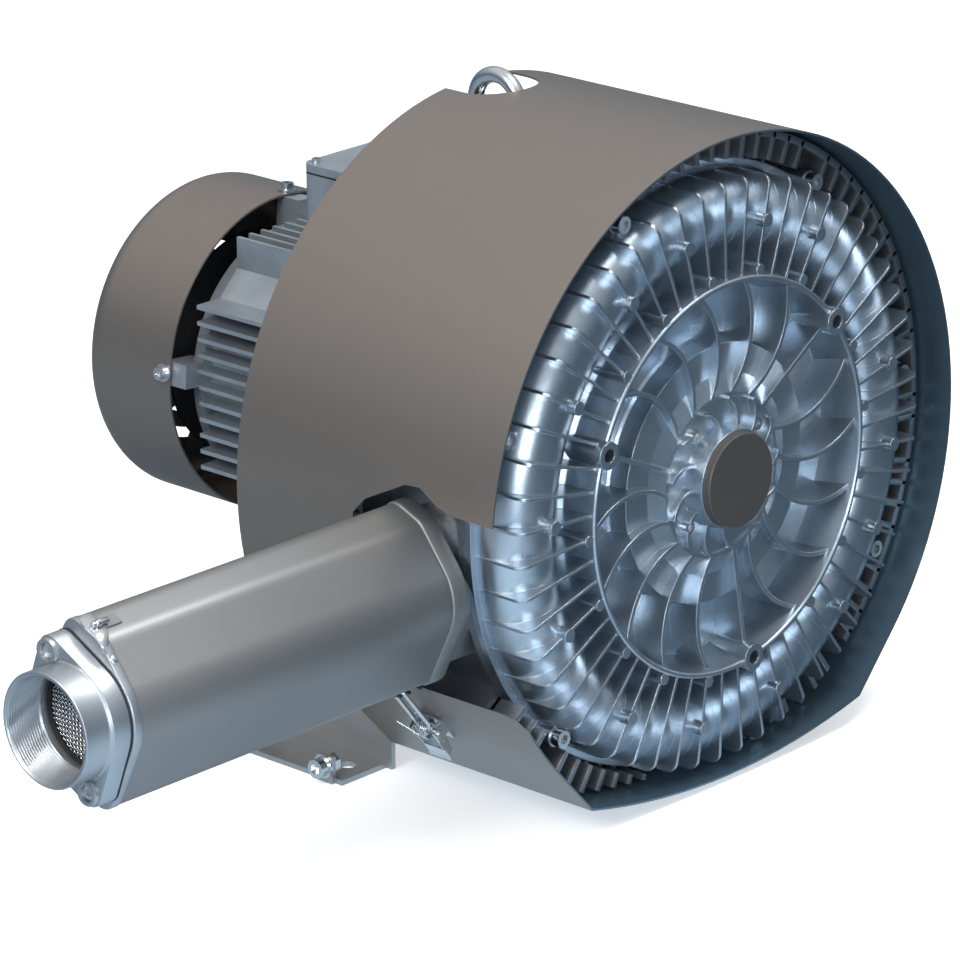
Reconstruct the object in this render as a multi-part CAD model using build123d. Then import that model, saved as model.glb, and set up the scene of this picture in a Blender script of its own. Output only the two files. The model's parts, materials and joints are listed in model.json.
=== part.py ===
from build123d import *
import math
import os

# Two-stage side channel blower with a flanged motor, a sheet metal jacket and an inlet silencer.
# Everything is drawn with the shaft along Y and the crest of the front cover's ring at y = 0, Z up.
# The last step moves it so that the origin lies on the floor, in the middle of the foot bolts.

# Overall places
shaft_height = 232.0
jacket_radius = 250.0
jacket_sheet = 1.5
jacket_front = 1.0
jacket_length = 244.0
jacket_low_rear = 196.0
crease_x = 148.0
crease_z = -209.0
jacket_sag = 18.0

# Side channels and stages
channel_radius = 188.0
channel_bore = 23.0
channel_wall = 6.0
stage_width = 28.0
stage_wall = 6.0
impeller_gap = 0.5
tip_gap = 2.0
first_stage = 38.0
rim_depth = 6.0
rim_step = 5.0
fin_tip = 240.0
fin_thickness = 5.0
fin_count = 90
fin_gap = 1.2
fin_band = 8.0
fin_band_from = 71.0
fin_band_to = -45.0
hub_bore_gap = 2.0
pocket_outer = 150.0
pocket_inner = 46.0
pocket_web = 16.0
rear_pocket = 26.0

# Front cover
ring_radius = 144.5
ring_crest = 4.0
boss_count = 18
rib_count = 55
boss_phase = 39.0
rib_thickness = 2.2
rib_corner = 8.5
rib_front = 3.5
groove_floor = 30.0
dish_floor = 32.0
web_thickness = 3.2
web_front = 5.0
web_bulge = 15.0
web_lead = 4.0
hub_rim_radius = 60.5
hub_rim_front = 9.6
hub_core_radius = 36.5
hub_web_count = 13
hub_web_phase = 5.5
hub_web_sweep = 17.0
hub_screw_circle = 47.0
hub_front = -3.0
pocket_floor = 11.5
plateau_inner = 74.0
plateau_outer = 95.5
plateau_front = 16.0
ring_pin_radius = 4.2
ring_pin_circle = 150.0
mid_pin_radius = 5.0
mid_pin_circle = 185.0
ring_pin_ribs = (3, 6, 9, 12, 15, 22, 25, 28, 31, 34, 41, 44, 47, 50, 53)
mid_pin_ribs = (3, 6, 10, 13, 17, 21, 25, 30, 34, 38, 42, 45, 48, 51)
lift_boss_radius = 10.0
lift_boss_circle = 143.0
lift_hole_radius = 5.1
lift_hole_depth = 26.0
cover_screw_angles = (5, 58, 114, 160, 226, 284, 330)
cover_screw_circle = 221.0
lug_radius = 7.5
lug_front = 30.0
screw_clearance = 0.3

# Bearings, shaft and seals
front_bearing = (12.5, 31.0, 17.0)
rear_bearing = (15.0, 31.0, 16.0)
bearing_front = 3.0
seal_radius = 23.5
seal_width = 7.0
seal_front = 29.0
sleeve_radius = 17.0
shaft_radius = 16.0
rotor_bore = 21.0
fan_seat = 11.0
running_gap = 0.05
cap_radius = 34.7
cap_front = -8.5

# Motor
motor_seat = 205.0
flange_radius = 130.0
flange_thickness = 14.0
flange_screw_circle = 115.0
spigot_radius = 65.0
spigot_depth = 9.0
frame_front = 235.0
frame_length = 195.0
frame_bore = 88.0
frame_wall = 7.0
frame_tip = 107.0
frame_rib = 3.2
frame_rib_pitch = 12.5
core_length = 150.0
winding_reach = 15.0
air_gap = 0.6
stator_bore = 58.0
shield_depth = 22.0
cowl_radius = 123.0
cowl_sheet = 1.5
cowl_front = 445.0
cowl_rear = 540.0
cowl_corner = 18.0
cowl_screw_phase = 85.0
fan_radius = 96.0
fan_front = 476.0
fan_width = 34.0
fan_blades = 9

# Terminal box on the motor
box_width = 120.0
box_length = 110.0
box_front = 255.0
box_base = 118.0
box_top = 168.5
box_wall = 4.0
lid_thickness = 6.0

# Ports, silencer tube and flanges
port_z = -38.0
inlet_y = 80.0
outlet_y = 168.0
throat_face = 235.0
throat_waist = 8.0
collar_thickness = 15.0
tube_length = 300.0
tube_wall = 4.0
gasket_thickness = 1.5
port_flange = 15.0
port_reach = 22.0
port_outer = 40.5
port_bore = 36.1
tie_offset = (17.0, 45.0)
tie_radius = 4.0

# Feet
foot_front = 202.0
foot_length = 128.0
foot_edge = 192.0
foot_web_x = 146.0
foot_sheet = 4.0
foot_ear_y = 16.5
foot_ear_z = 12.5
foot_ear_reach = 3.0
foot_hole_radius = 6.5
foot_hole_x = 167.0
foot_hole_pitch = 88.0
foot_web_top = -150.0
foot_screw_x = 112.0
foot_screws_z = (-135.0, -172.0)

# Worked out from the sizes above
impeller_radius = channel_radius + channel_bore + 1.5
seat_radius = impeller_radius + tip_gap
housing_radius = channel_radius + channel_bore + channel_wall
rim_radius = housing_radius + rim_step
first_split = first_stage + stage_width / 2
first_stage_end = first_stage + stage_width
second_stage = first_stage_end + 2 * channel_bore + stage_wall
second_split = second_stage + stage_width / 2
second_stage_end = second_stage + stage_width
frame_rear = frame_front + frame_length
frame_outer = frame_bore + frame_wall
shield_rear = frame_rear + shield_depth
core_front = frame_front + (frame_length - core_length) / 2
core_rear = core_front + core_length
foot_centre_y = foot_front + foot_length / 2
jacket_rear = jacket_front + jacket_length
rear_bearing_front = frame_rear + 3.0
flange_rear = motor_seat + flange_thickness
silencer_end = throat_face + collar_thickness + tube_length
base_bow = (crease_x**2 + jacket_sag**2) / (2 * jacket_sag)
base_centre = crease_z - jacket_sag + base_bow


def turned(*points):
    """Solid turned about the shaft from a closed outline of (radius, y) points."""
    return revolve(make_face(Polyline(*points, close=True)), Axis.Y)


def tube(outer, inner, start, end):
    """Plain ring about the shaft between two y places."""
    return turned((inner, start), (outer, start), (outer, end), (inner, end))


def disc(radius, start, end):
    """Plain disc about the shaft between two y places."""
    return extrude(Plane.XZ.offset(-start) * Circle(radius), start - end)


def slab(face, start, end):
    """A face drawn in (x, z), thickened from one y to another."""
    return extrude(Plane.XZ.offset(-start) * face, start - end)


def rod(radius, start, end):
    """Round bar between two points."""
    path = Vector(end) - Vector(start)
    return extrude(Plane(origin=start, z_dir=path) * Circle(radius), path.length)


def block(low, high):
    """Box between its lowest and highest corners."""
    size = [b - a for a, b in zip(low, high)]
    middle = [(a + b) / 2 for a, b in zip(low, high)]
    return Pos(*middle) * Box(*size)


def spot(radius, angle, y):
    """Point at a radius and an angle from +X towards +Z about the shaft."""
    a = math.radians(angle)
    return (radius * math.cos(a), y, radius * math.sin(a))


def turn(angle):
    """Turn about the shaft by an angle from +X towards +Z."""
    return Rot(0, -angle, 0)


def plate(face, thickness):
    """A face drawn in (radius, y), thickened evenly about the plane of the shaft."""
    return extrude(face, thickness / 2, both=True)


def outline(*curves):
    """Face inside a chain of curves."""
    return make_face([edge for curve in curves for edge in curve.edges()])


def socket_screw(shank, length, head_height, place, direction):
    """Socket head cap screw: under the head it sits at place, and its shank runs along direction."""
    plane = Plane(origin=place, z_dir=direction)
    head_radius = shank * 1.6
    head = extrude(Circle(head_radius), -head_height)
    key = extrude(RegularPolygon(shank * 0.95, 6), head_height * 0.6)
    return plane * (head + extrude(Circle(shank), length) - Pos(0, 0, -head_height) * key)


def hexagon_nut(bore, across, height, place, direction):
    """Hexagon nut with its near face at place."""
    profile = RegularPolygon(across / math.sqrt(3), 6) - Circle(bore)
    return Plane(origin=place, z_dir=direction) * extrude(profile, height)


def base_reach(angle):
    """Distance from the shaft to the jacket's bowed base in a direction that points down."""
    a = math.radians(angle)
    return base_centre * math.sin(a) + math.sqrt(base_bow**2 - (base_centre * math.cos(a)) ** 2)


def fin_reach(angle):
    """Tip radius of a housing fin: shorter where the jacket's base is near."""
    low = base_reach(angle) - jacket_sheet - fin_gap if math.sin(math.radians(angle)) < 0 else fin_tip
    return min(fin_tip, low)


def save(name, shape):
    """Moves a finished piece to the row frame and writes it."""
    placed = Pos(0, -foot_centre_y, shaft_height) * shape
    solids = placed.solids()
    piece = solids[0] if len(solids) == 1 else Compound(solids)
    export_step(piece, f"parts/{name}.step")


# Front cover

def cover_wall():
    """Turned wall of the cover: hub, dish, ring, groove, channel bulge and rim."""
    outer = channel_bore + channel_wall
    groove_end = channel_radius - math.sqrt(outer**2 - (first_stage - groove_floor) ** 2)
    ring_in = ring_radius - ring_crest / 2
    ring_out = ring_radius + ring_crest / 2
    front = Polyline(
        (front_bearing[1], hub_front),
        (hub_core_radius, hub_front),
        (hub_core_radius + 2, pocket_floor),
        (hub_rim_radius - 4, pocket_floor),
        (hub_rim_radius - 3, hub_rim_front),
        (hub_rim_radius, hub_rim_front),
        (plateau_inner, plateau_front - 0.5),
        (plateau_outer, plateau_front),
        (plateau_outer + 2, dish_floor - 2),
        (plateau_outer + 4, dish_floor),
        (ring_in - 6, dish_floor),
        (ring_in, 1),
        (ring_in + 1, 0),
        (ring_out - 1, 0),
        (ring_out, 1),
        (ring_out + 2.5, groove_floor - 3),
        (ring_out + 5.5, groove_floor),
        (groove_end, groove_floor),
    )
    bulge = ThreePointArc(
        (groove_end, groove_floor),
        (channel_radius, first_stage - outer),
        (housing_radius, first_stage),
    )
    rim = Polyline(
        (housing_radius, first_stage),
        (housing_radius, first_split - rim_depth),
        (rim_radius, first_split - rim_depth),
        (rim_radius, first_split),
        (seat_radius, first_split),
        (seat_radius, first_stage),
        (channel_radius + channel_bore, first_stage),
    )
    channel = ThreePointArc(
        (channel_radius + channel_bore, first_stage),
        (channel_radius, first_stage - channel_bore),
        (channel_radius - channel_bore, first_stage),
    )
    back = Polyline(
        (channel_radius - channel_bore, first_stage),
        (seal_radius, first_stage),
        (seal_radius, seal_front),
        (sleeve_radius + 2, seal_front),
        (sleeve_radius + 2, bearing_front + front_bearing[2]),
        (front_bearing[1], bearing_front + front_bearing[2]),
        (front_bearing[1], hub_front),
    )
    return revolve(outline(front, bulge, rim, channel, back), Axis.Y)


def cover_rib():
    """One radial rib: flat in front, rounded at the rim, its foot buried in the wall."""
    base = channel_bore + channel_wall / 2 + 1
    foot_y = groove_floor + 3
    foot_r = channel_radius - math.sqrt(base**2 - (first_stage - foot_y) ** 2)
    corner = rib_corner
    tip = housing_radius + 0.5
    swing = corner * (1 - math.sqrt(0.5))
    face = outline(
        Polyline((foot_r, foot_y), (ring_radius, foot_y), (ring_radius, rib_front), (tip - corner, rib_front)),
        ThreePointArc(
            (tip - corner, rib_front),
            (tip - swing, rib_front + swing),
            (tip, rib_front + corner),
        ),
        Polyline(
            (tip, rib_front + corner),
            (tip, first_split - 4),
            (channel_radius + base, first_split - 4),
            (channel_radius + base, first_stage),
        ),
        ThreePointArc(
            (channel_radius + base, first_stage),
            (channel_radius, first_stage - base),
            (foot_r, foot_y),
        ),
    )
    return plate(face, rib_thickness)


def dish_web(index):
    """One web of the dish: straight to a big boss, else an arc that bulges clockwise from the front."""
    angle = boss_phase + index * 360 / boss_count
    straight = index % (boss_count // 3) == 0
    inner = spot(hub_rim_radius - 1, angle + (web_lead if straight else web_lead / 2), 0)
    outer = spot(ring_radius - 1, angle if straight else angle + web_lead, 0)
    a, b = (inner[0], inner[2]), (outer[0], outer[2])
    if straight:
        line = Line(a, b)
    else:
        length = math.dist(a, b)
        along = ((b[0] - a[0]) / length, (b[1] - a[1]) / length)
        middle = ((a[0] + b[0]) / 2 + web_bulge * along[1], (a[1] + b[1]) / 2 - web_bulge * along[0])
        line = ThreePointArc(a, middle, b)
    low = turned((hub_rim_radius - 4, 0), (ring_radius, 0), (ring_radius, web_front), (hub_rim_radius - 4, hub_rim_front))
    return slab(trace(line, web_thickness), web_front - 1, dish_floor + 2) - low


def hub_web(index):
    """One small curved web in the pocket between the hub's core and its rim."""
    angle = index * 360 / hub_web_count + hub_web_phase
    a = spot(hub_core_radius - 1, angle - hub_web_sweep, 0)
    b = spot(hub_rim_radius - 2, angle, 0)
    m = spot((hub_core_radius + hub_rim_radius) / 2, angle - 0.7 * hub_web_sweep, 0)
    line = ThreePointArc((a[0], a[2]), (m[0], m[2]), (b[0], b[2]))
    return slab(trace(line, 2.4), 5, pocket_floor + 1)


def front_cover():
    """Cast front cover with its ribs, webs, bosses and screw lugs."""
    rib = cover_rib()
    adds = [turn(boss_phase + k * 360 / rib_count) * rib for k in range(rib_count)]
    adds += [dish_web(k) for k in range(boss_count)]
    adds += [hub_web(k) for k in range(hub_web_count)]
    for angle in (boss_phase, boss_phase + 120, boss_phase + 240):
        adds.append(rod(lift_boss_radius, spot(lift_boss_circle, angle, -3), spot(lift_boss_circle, angle, 34)))
    for k in ring_pin_ribs:
        angle = boss_phase + k * 360 / rib_count
        adds.append(rod(ring_pin_radius, spot(ring_pin_circle, angle, 1), spot(ring_pin_circle, angle, 33)))
    for k in mid_pin_ribs:
        angle = boss_phase + k * 360 / rib_count
        adds.append(rod(mid_pin_radius, spot(mid_pin_circle, angle, 0.5), spot(mid_pin_circle, angle, 13)))
    for angle in cover_screw_angles:
        adds.append(rod(lug_radius, spot(cover_screw_circle, angle, lug_front), spot(cover_screw_circle, angle, first_split)))
    body = cover_wall() + adds
    cuts = [
        rod(lift_hole_radius, spot(lift_boss_circle, boss_phase + k, -4), spot(lift_boss_circle, boss_phase + k, lift_hole_depth - 3))
        for k in (0, 120, 240)
    ]
    for angle in cover_screw_angles:
        hole = tie_radius + screw_clearance
        cuts.append(rod(hole, spot(cover_screw_circle, angle, lug_front - 1), spot(cover_screw_circle, angle, first_split + 1)))
        head = tie_radius * 1.6 + screw_clearance
        cuts.append(rod(head, spot(cover_screw_circle, angle, 0), spot(cover_screw_circle, angle, lug_front)))
    for k in range(4):
        place = hub_screw_circle, boss_phase + k * 90
        cuts.append(rod(3 + screw_clearance, spot(*place, pocket_floor - 1), spot(*place, pocket_floor + 15)))
        cuts.append(rod(3 * 1.6 + screw_clearance, spot(*place, 0), spot(*place, pocket_floor)))
    return body - cuts


def hub_screws():
    """Socket screws in the hub pockets."""
    return [
        socket_screw(3, 14, 4, spot(hub_screw_circle, boss_phase + k * 90, pocket_floor), (0, 1, 0))
        for k in range(4)
    ]


def cover_screws():
    """Socket screws through the cover's lugs into the middle housing."""
    return [
        socket_screw(tie_radius, first_split - lug_front + 16, 8, spot(cover_screw_circle, angle, lug_front), (0, 1, 0))
        for angle in cover_screw_angles
    ]


def centre_cap():
    """Flat cap that closes the front bearing's seat."""
    spigot = front_bearing[1] - running_gap
    return turned(
        (0, cap_front),
        (cap_radius - 0.8, cap_front),
        (cap_radius, cap_front + 0.8),
        (cap_radius, hub_front),
        (spigot, hub_front),
        (spigot, bearing_front),
        (spigot - 4, bearing_front),
        (spigot - 4, cap_front + 3),
        (0, cap_front + 3),
    )


# Housings

def port_outline(grow=0.0):
    """Rounded six-sided outline of the silencer, its flanges and gasket, in (y, z) about the port's axis."""
    points = [(17, 67), (-14, 54), (-41, -3), (-17, -67), (14, -54), (41, 3)]
    radii = [11.0, 14.0, 40.0, 11.0, 14.0, 40.0]
    face = make_face(Polyline(*points, close=True))
    corners = face.vertices()
    for point, radius in zip(points, radii):
        near = corners.sort_by_distance((point[0], point[1], 0))[0]
        face = fillet(face.vertices().sort_by_distance(near)[0], radius)
    return offset(face, grow) if grow else face


def port_plane(side, y, x):
    """Plane across a port at a distance from the shaft; side is -1 for the inlet and 1 for the outlet.
    Its normal points away from the shaft and its first axis points to the rear."""
    return Plane(origin=(side * x, y, port_z), x_dir=(0, 1, 0), z_dir=(side, 0, 0))


def port_face(side, grow=0.0):
    """The port outline as seen on a port plane; the outlet's is the inlet's turned about the shaft's height."""
    face = port_outline(grow)
    return mirror(face, Plane.XZ) if side < 0 else face


def port_solid(side, y, start, end, grow=0.0):
    """Solid with the port outline between two distances from the shaft."""
    return extrude(port_plane(side, y, start) * port_face(side, grow), end - start)


def tie_points(side):
    """The two screw places of a port flange, in its plane."""
    u, v = tie_offset
    flip = -1 if side < 0 else 1
    return [(u, v * flip), (-u, -v * flip)]


def port_rod(side, y, radius, start, end, point=(0, 0)):
    """Round bar along a port's axis at a point of its plane."""
    return extrude(port_plane(side, y, start) * Pos(*point) * Circle(radius), end - start)


def throat(side, y, channel_y):
    """Cast throat from the housing wall to the port face, kept clear of the stage inside."""
    waist = rim_radius + 1.0
    neck = port_solid(side, y, housing_radius - 22, waist, -throat_waist)
    flare = loft([port_plane(side, y, waist) * port_face(side, -throat_waist), port_plane(side, y, throat_face) * port_face(side)])
    inside = disc(housing_radius - 2, channel_y - 60, channel_y + (60 if side < 0 else -4))
    hollow = Pos(0, channel_y - (0 if side < 0 else 12), 0) * Rot(90, 0, 0) * Torus(channel_radius, channel_bore)
    body = neck + flare - inside - hollow
    return body - disc(rim_radius + 0.3, first_split - 20, first_split) if side < 0 else body


def throat_cut(side, y, channel_y):
    """Air way through a throat: a round bore, then a slot into the side channel."""
    bore = port_rod(side, y, port_bore - 4, rim_radius - 2, throat_face + 1)
    slot = port_plane(side, channel_y, channel_radius + 6) * SlotOverall(66, 22, rotation=90)
    ties = [port_rod(side, y, tie_radius - 0.6, throat_face - 14, throat_face + 1, p) for p in tie_points(side)]
    return [bore, extrude(slot, rim_radius - channel_radius), *ties]


def housing_fins(start, end, skips):
    """Radial cooling fins between two y places, left out inside the given spans of angle."""
    fins = []
    for k in range(fin_count):
        angle = boss_phase + k * 360 / fin_count
        if any(low < angle % 360 < high for low, high in skips):
            continue
        fin = block((housing_radius - 2, start, -fin_thickness / 2), (fin_reach(angle), end, fin_thickness / 2))
        fins.append(turn(angle) * fin)
    return fins


def lugs(start, end):
    """Lugs that take the cover screws."""
    return [rod(lug_radius, spot(cover_screw_circle, a, start), spot(cover_screw_circle, a, end)) for a in cover_screw_angles]


def lug_holes(start, end, radius):
    """Holes for the cover screws."""
    return [rod(radius, spot(cover_screw_circle, a, start), spot(cover_screw_circle, a, end)) for a in cover_screw_angles]


def channel_arc(y, depth):
    """Half circle of the side channel in (radius, y), from its outer edge to its inner edge."""
    return ThreePointArc(
        (channel_radius + channel_bore, y),
        (channel_radius, y + depth),
        (channel_radius - channel_bore, y),
    )


def middle_housing():
    """Casting between the two impellers, with half a channel on each side, fins and the inlet throat."""
    bore = shaft_radius + 16 + hub_bore_gap
    web_rear = (first_stage_end + second_stage + pocket_web) / 2
    outside = Polyline(
        (seat_radius, first_split),
        (rim_radius, first_split),
        (rim_radius, first_split + rim_depth),
        (housing_radius, first_split + rim_depth),
        (housing_radius, second_split - rim_depth),
        (rim_radius, second_split - rim_depth),
        (rim_radius, second_split),
        (seat_radius, second_split),
        (seat_radius, second_stage),
        (channel_radius + channel_bore, second_stage),
    )
    inside = Polyline(
        (channel_radius - channel_bore, second_stage),
        (pocket_outer, second_stage),
        (pocket_outer, web_rear),
        (pocket_inner, web_rear),
        (pocket_inner, second_stage),
        (bore, second_stage),
        (bore, first_stage_end),
        (pocket_inner, first_stage_end),
        (pocket_inner, web_rear - pocket_web),
        (pocket_outer, web_rear - pocket_web),
        (pocket_outer, first_stage_end),
        (channel_radius - channel_bore, first_stage_end),
    )
    closing = Polyline(
        (channel_radius + channel_bore, first_stage_end),
        (seat_radius, first_stage_end),
        (seat_radius, first_split),
    )
    face = outline(outside, channel_arc(second_stage, -channel_bore), inside, channel_arc(first_stage_end, channel_bore), closing)
    fin_start, fin_end = first_split + rim_depth + 2, second_split - rim_depth - 2
    adds = housing_fins(fin_start, fin_end, [(168, 214)])
    adds += lugs(first_split, first_split + 22)
    band = Pos(fin_tip - fin_band / 2, fin_start + fin_band / 2) * Rectangle(fin_band, fin_band)
    adds.append(turn(fin_band_from) * revolve(band, Axis.Y, fin_band_from - fin_band_to))
    adds.append(throat(-1, inlet_y, first_stage_end + 10))
    cuts = throat_cut(-1, inlet_y, first_stage_end + 10)
    cuts += lug_holes(first_split - 1, first_split + 18, tie_radius + running_gap)
    cuts.append(rod(14, spot(channel_radius, 300, first_stage_end + 10), spot(channel_radius, 300, second_stage - 10)))
    return revolve(face, Axis.Y) + adds - cuts


def rear_rib(tip):
    """One fin of the rear housing up to a tip radius, which runs round onto its back."""
    face = make_face(
        Polyline(
            (housing_radius - 2, second_split + rim_depth + 2),
            (tip, second_split + rim_depth + 2),
            (tip, motor_seat - 25),
            (tip - 8, motor_seat - 14),
            (flange_radius + 12, foot_front - foot_sheet - 1),
            (flange_radius + 6, motor_seat - 16),
            (housing_radius - 6, second_stage_end + channel_bore + 4),
            (housing_radius - 2, second_stage_end + 10),
            close=True,
        )
    )
    return plate(face, fin_thickness)


def rear_housing():
    """Casting behind the second impeller, with half a channel, fins, foot bosses and the outlet throat."""
    back = second_stage_end + channel_bore + channel_wall
    outside = Polyline(
        (seat_radius, second_split),
        (rim_radius, second_split),
        (rim_radius, second_split + rim_depth),
        (housing_radius, second_split + rim_depth),
        (housing_radius, second_stage_end + 8),
        (housing_radius - 12, back),
        (flange_radius + 14, back + 4),
        (flange_radius + 2, motor_seat),
        (spigot_radius, motor_seat),
        (spigot_radius, motor_seat - spigot_depth),
        (seal_radius, motor_seat - spigot_depth),
        (seal_radius, motor_seat - spigot_depth - seal_width - 1),
        (shaft_radius + 3, motor_seat - spigot_depth - seal_width - 1),
        (shaft_radius + 3, second_stage_end),
        (pocket_inner, second_stage_end),
        (pocket_inner, second_stage_end + rear_pocket),
        (spigot_radius + 10, second_stage_end + rear_pocket),
        (spigot_radius + 10, motor_seat - 21),
        (flange_radius - 5, motor_seat - 21),
        (flange_radius - 5, second_stage_end + rear_pocket),
        (pocket_outer, second_stage_end + rear_pocket),
        (pocket_outer, second_stage_end),
        (channel_radius - channel_bore, second_stage_end),
    )
    closing = Polyline(
        (channel_radius + channel_bore, second_stage_end),
        (seat_radius, second_stage_end),
        (seat_radius, second_split),
    )
    face = outline(outside, channel_arc(second_stage_end, channel_bore), closing)
    adds = []
    for k in range(fin_count // 2):
        angle = (boss_phase + k * 720 / fin_count) % 360
        if not (angle > 324 or angle < 14):
            adds.append(turn(angle) * rear_rib(fin_reach(angle)))
    adds.append(throat(1, outlet_y, second_stage_end + 12))
    adds += foot_bosses()
    cuts = throat_cut(1, outlet_y, second_stage_end + 12)
    cuts += flange_screw_holes(motor_seat - 20, motor_seat + 1, 5 + running_gap)
    cuts += [rod(5 + running_gap, (x, foot_front - 24, z), (x, foot_front + 1, z)) for x, z in foot_screw_places()]
    cuts.append(rod(6 + running_gap, (0, eye_y, eye_seat - 22), (0, eye_y, eye_seat + 1)))
    adds.append(eye_boss())
    return revolve(face, Axis.Y) + adds - cuts


def foot_screw_places():
    """The (x, z) places of the screws that hold the feet."""
    return [(side * foot_screw_x, z) for side in (-1, 1) for z in foot_screws_z]


def foot_bosses():
    """Bosses on the back of the rear housing that carry the feet."""
    start = second_stage_end + channel_bore + 3
    return [rod(11, (x, start, z), (x, foot_front - foot_sheet, z)) for x, z in foot_screw_places()]


# Lifting eye
eye_outer = 27.0
eye_wire = 6.0
eye_y = 224.0
eye_seat = 206.0
eye_height = 28.0


def eye_boss():
    """Arm at the top of the rear housing that takes the lifting eye's thread."""
    low = second_stage_end + channel_bore
    return block((-16, low, eye_seat - 34), (16, eye_y + 16, eye_seat))


def lifting_eye():
    """Forged ring bolt, its ring in the plane of the shaft."""
    centre = eye_seat + eye_height
    ring = Plane(origin=(0, eye_y, centre), z_dir=(1, 0, 0)) * Torus(eye_outer - eye_wire, eye_wire)
    collar = rod(13, (0, eye_y, eye_seat), (0, eye_y, eye_seat + 7))
    neck = rod(7, (0, eye_y, eye_seat + 6), (0, eye_y, eye_seat + eye_height - eye_outer + 2 * eye_wire - 2))
    shank = rod(6, (0, eye_y, eye_seat - 20), (0, eye_y, eye_seat + 1))
    return ring + collar + neck + shank


# Impellers and the shaft line

def impeller(middle, hub_start, hub_end):
    """Impeller: hub, web and a rim of radial blades on both sides of a dividing ridge."""
    half = stage_width / 2 - impeller_gap
    inner = channel_radius - channel_bore - 1
    core = turned(
        (shaft_radius + running_gap, hub_start),
        (shaft_radius + 14, hub_start),
        (shaft_radius + 16, middle - 5),
        (inner - 14, middle - 4),
        (inner - 12, middle - half),
        (inner, middle - half),
        (inner + 14, middle - 2),
        (impeller_radius, middle - 1.5),
        (impeller_radius, middle + 1.5),
        (inner + 14, middle + 2),
        (inner, middle + half),
        (inner - 12, middle + half),
        (inner - 14, middle + 4),
        (shaft_radius + 16, middle + 5),
        (shaft_radius + 14, hub_end),
        (shaft_radius + running_gap, hub_end),
    )
    vane = block((inner - 2, middle - half, -1.2), (impeller_radius, middle + half, 1.2))
    return core + [turn(k * 360 / blade_count) * vane for k in range(blade_count)]


blade_count = 44
front_hub = (first_stage + 2, first_stage_end + 8)
rear_hub = (second_stage - 8, second_stage_end - 2)


def shaft():
    """Stepped shaft through both impellers and the motor to the fan."""
    return turned(
        (0, hub_front),
        (front_bearing[0] - 1, hub_front),
        (front_bearing[0], hub_front + 1),
        (front_bearing[0], front_hub[0]),
        (shaft_radius, front_hub[0]),
        (shaft_radius, rear_hub[1]),
        (shaft_radius + 1, rear_hub[1]),
        (shaft_radius + 1, frame_front + 10),
        (rotor_bore, frame_front + 10),
        (rotor_bore, frame_rear - 12),
        (rear_bearing[0] + 3, frame_rear - 12),
        (rear_bearing[0] + 3, rear_bearing_front),
        (rear_bearing[0], rear_bearing_front),
        (rear_bearing[0], shield_rear + 4),
        (fan_seat, shield_rear + 4),
        (fan_seat, fan_front + fan_width + 4),
        (0, fan_front + fan_width + 4),
    )


def shaft_sleeve():
    """Sleeve between the front bearing and the first impeller, on which the front seal runs."""
    return tube(sleeve_radius, front_bearing[0] + running_gap, bearing_front + front_bearing[2], front_hub[0])


def impeller_spacer():
    """Spacer tube between the two impeller hubs."""
    return tube(shaft_radius + 8, shaft_radius + running_gap, front_hub[1], rear_hub[0])


def shaft_nut():
    """Round nut that clamps the front bearing's inner ring."""
    body = tube(front_bearing[0] + 7, front_bearing[0] + running_gap, hub_front + 0.5, bearing_front)
    slot = block((front_bearing[0] + 4, hub_front, -2.5), (front_bearing[0] + 8, bearing_front + 1, 2.5))
    return body - [turn(45 + k * 90) * slot for k in range(4)]


def bearing_outer(sizes, start):
    """Outer ring of a sealed ball bearing, with its two side shields."""
    bore, outer, width = sizes
    race = outer - 5
    lip = bore + 6.5
    return turned(
        (race, start + 2.5),
        (lip, start + 2.5),
        (lip, start + 1),
        (outer - running_gap, start),
        (outer - running_gap, start + width),
        (lip, start + width - 1),
        (lip, start + width - 2.5),
        (race, start + width - 2.5),
    )


def bearing_inner(sizes, start):
    """Inner ring of a ball bearing with its ball track."""
    bore, outer, width = sizes
    top = bore + 5.5
    middle = start + width / 2
    return turned(
        (bore + running_gap, start),
        (top, start),
        (top, middle - 3),
        (top - 1.5, middle - 1.5),
        (top - 1.5, middle + 1.5),
        (top, middle + 3),
        (top, start + width),
        (bore + running_gap, start + width),
    )


def lip_seal(runner, start):
    """Rubber lip seal: an L-shaped ring whose lip stands a hair off its runner."""
    lip = runner + 0.3
    return turned(
        (seal_radius - running_gap, start),
        (seal_radius - running_gap, start + seal_width),
        (seal_radius - 2, start + seal_width),
        (seal_radius - 2, start + 2),
        (lip + 2, start + 2.5),
        (lip + 1, start + seal_width - 1),
        (lip, start + seal_width - 1.5),
        (lip + 0.5, start),
    )


# Motor

def flange_screw_holes(start, end, radius):
    """Holes on the motor flange's screw circle."""
    return [rod(radius, spot(flange_screw_circle, 45 + k * 90, start), spot(flange_screw_circle, 45 + k * 90, end)) for k in range(4)]


def motor_flange():
    """Drive end shield and flange in one casting, spigoted into the rear housing."""
    body = turned(
        (shaft_radius + 3, motor_seat - spigot_depth),
        (spigot_radius - running_gap, motor_seat - spigot_depth),
        (spigot_radius - running_gap, motor_seat),
        (flange_radius, motor_seat),
        (flange_radius, flange_rear),
        (frame_outer + 4, flange_rear + 2),
        (frame_outer, frame_front),
        (frame_bore - running_gap, frame_front),
        (frame_bore - running_gap, frame_front + 6),
        (frame_bore - 8, frame_front + 6),
        (frame_bore - 10, flange_rear + 3),
        (shaft_radius + 12, flange_rear + 1),
        (shaft_radius + 3, flange_rear + 1),
    )
    return body - flange_screw_holes(motor_seat - 1, flange_rear + 20, 5 + screw_clearance) - [
        rod(8 + screw_clearance, spot(flange_screw_circle, 45 + k * 90, flange_rear), spot(flange_screw_circle, 45 + k * 90, frame_front + 10))
        for k in range(4)
    ]


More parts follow.
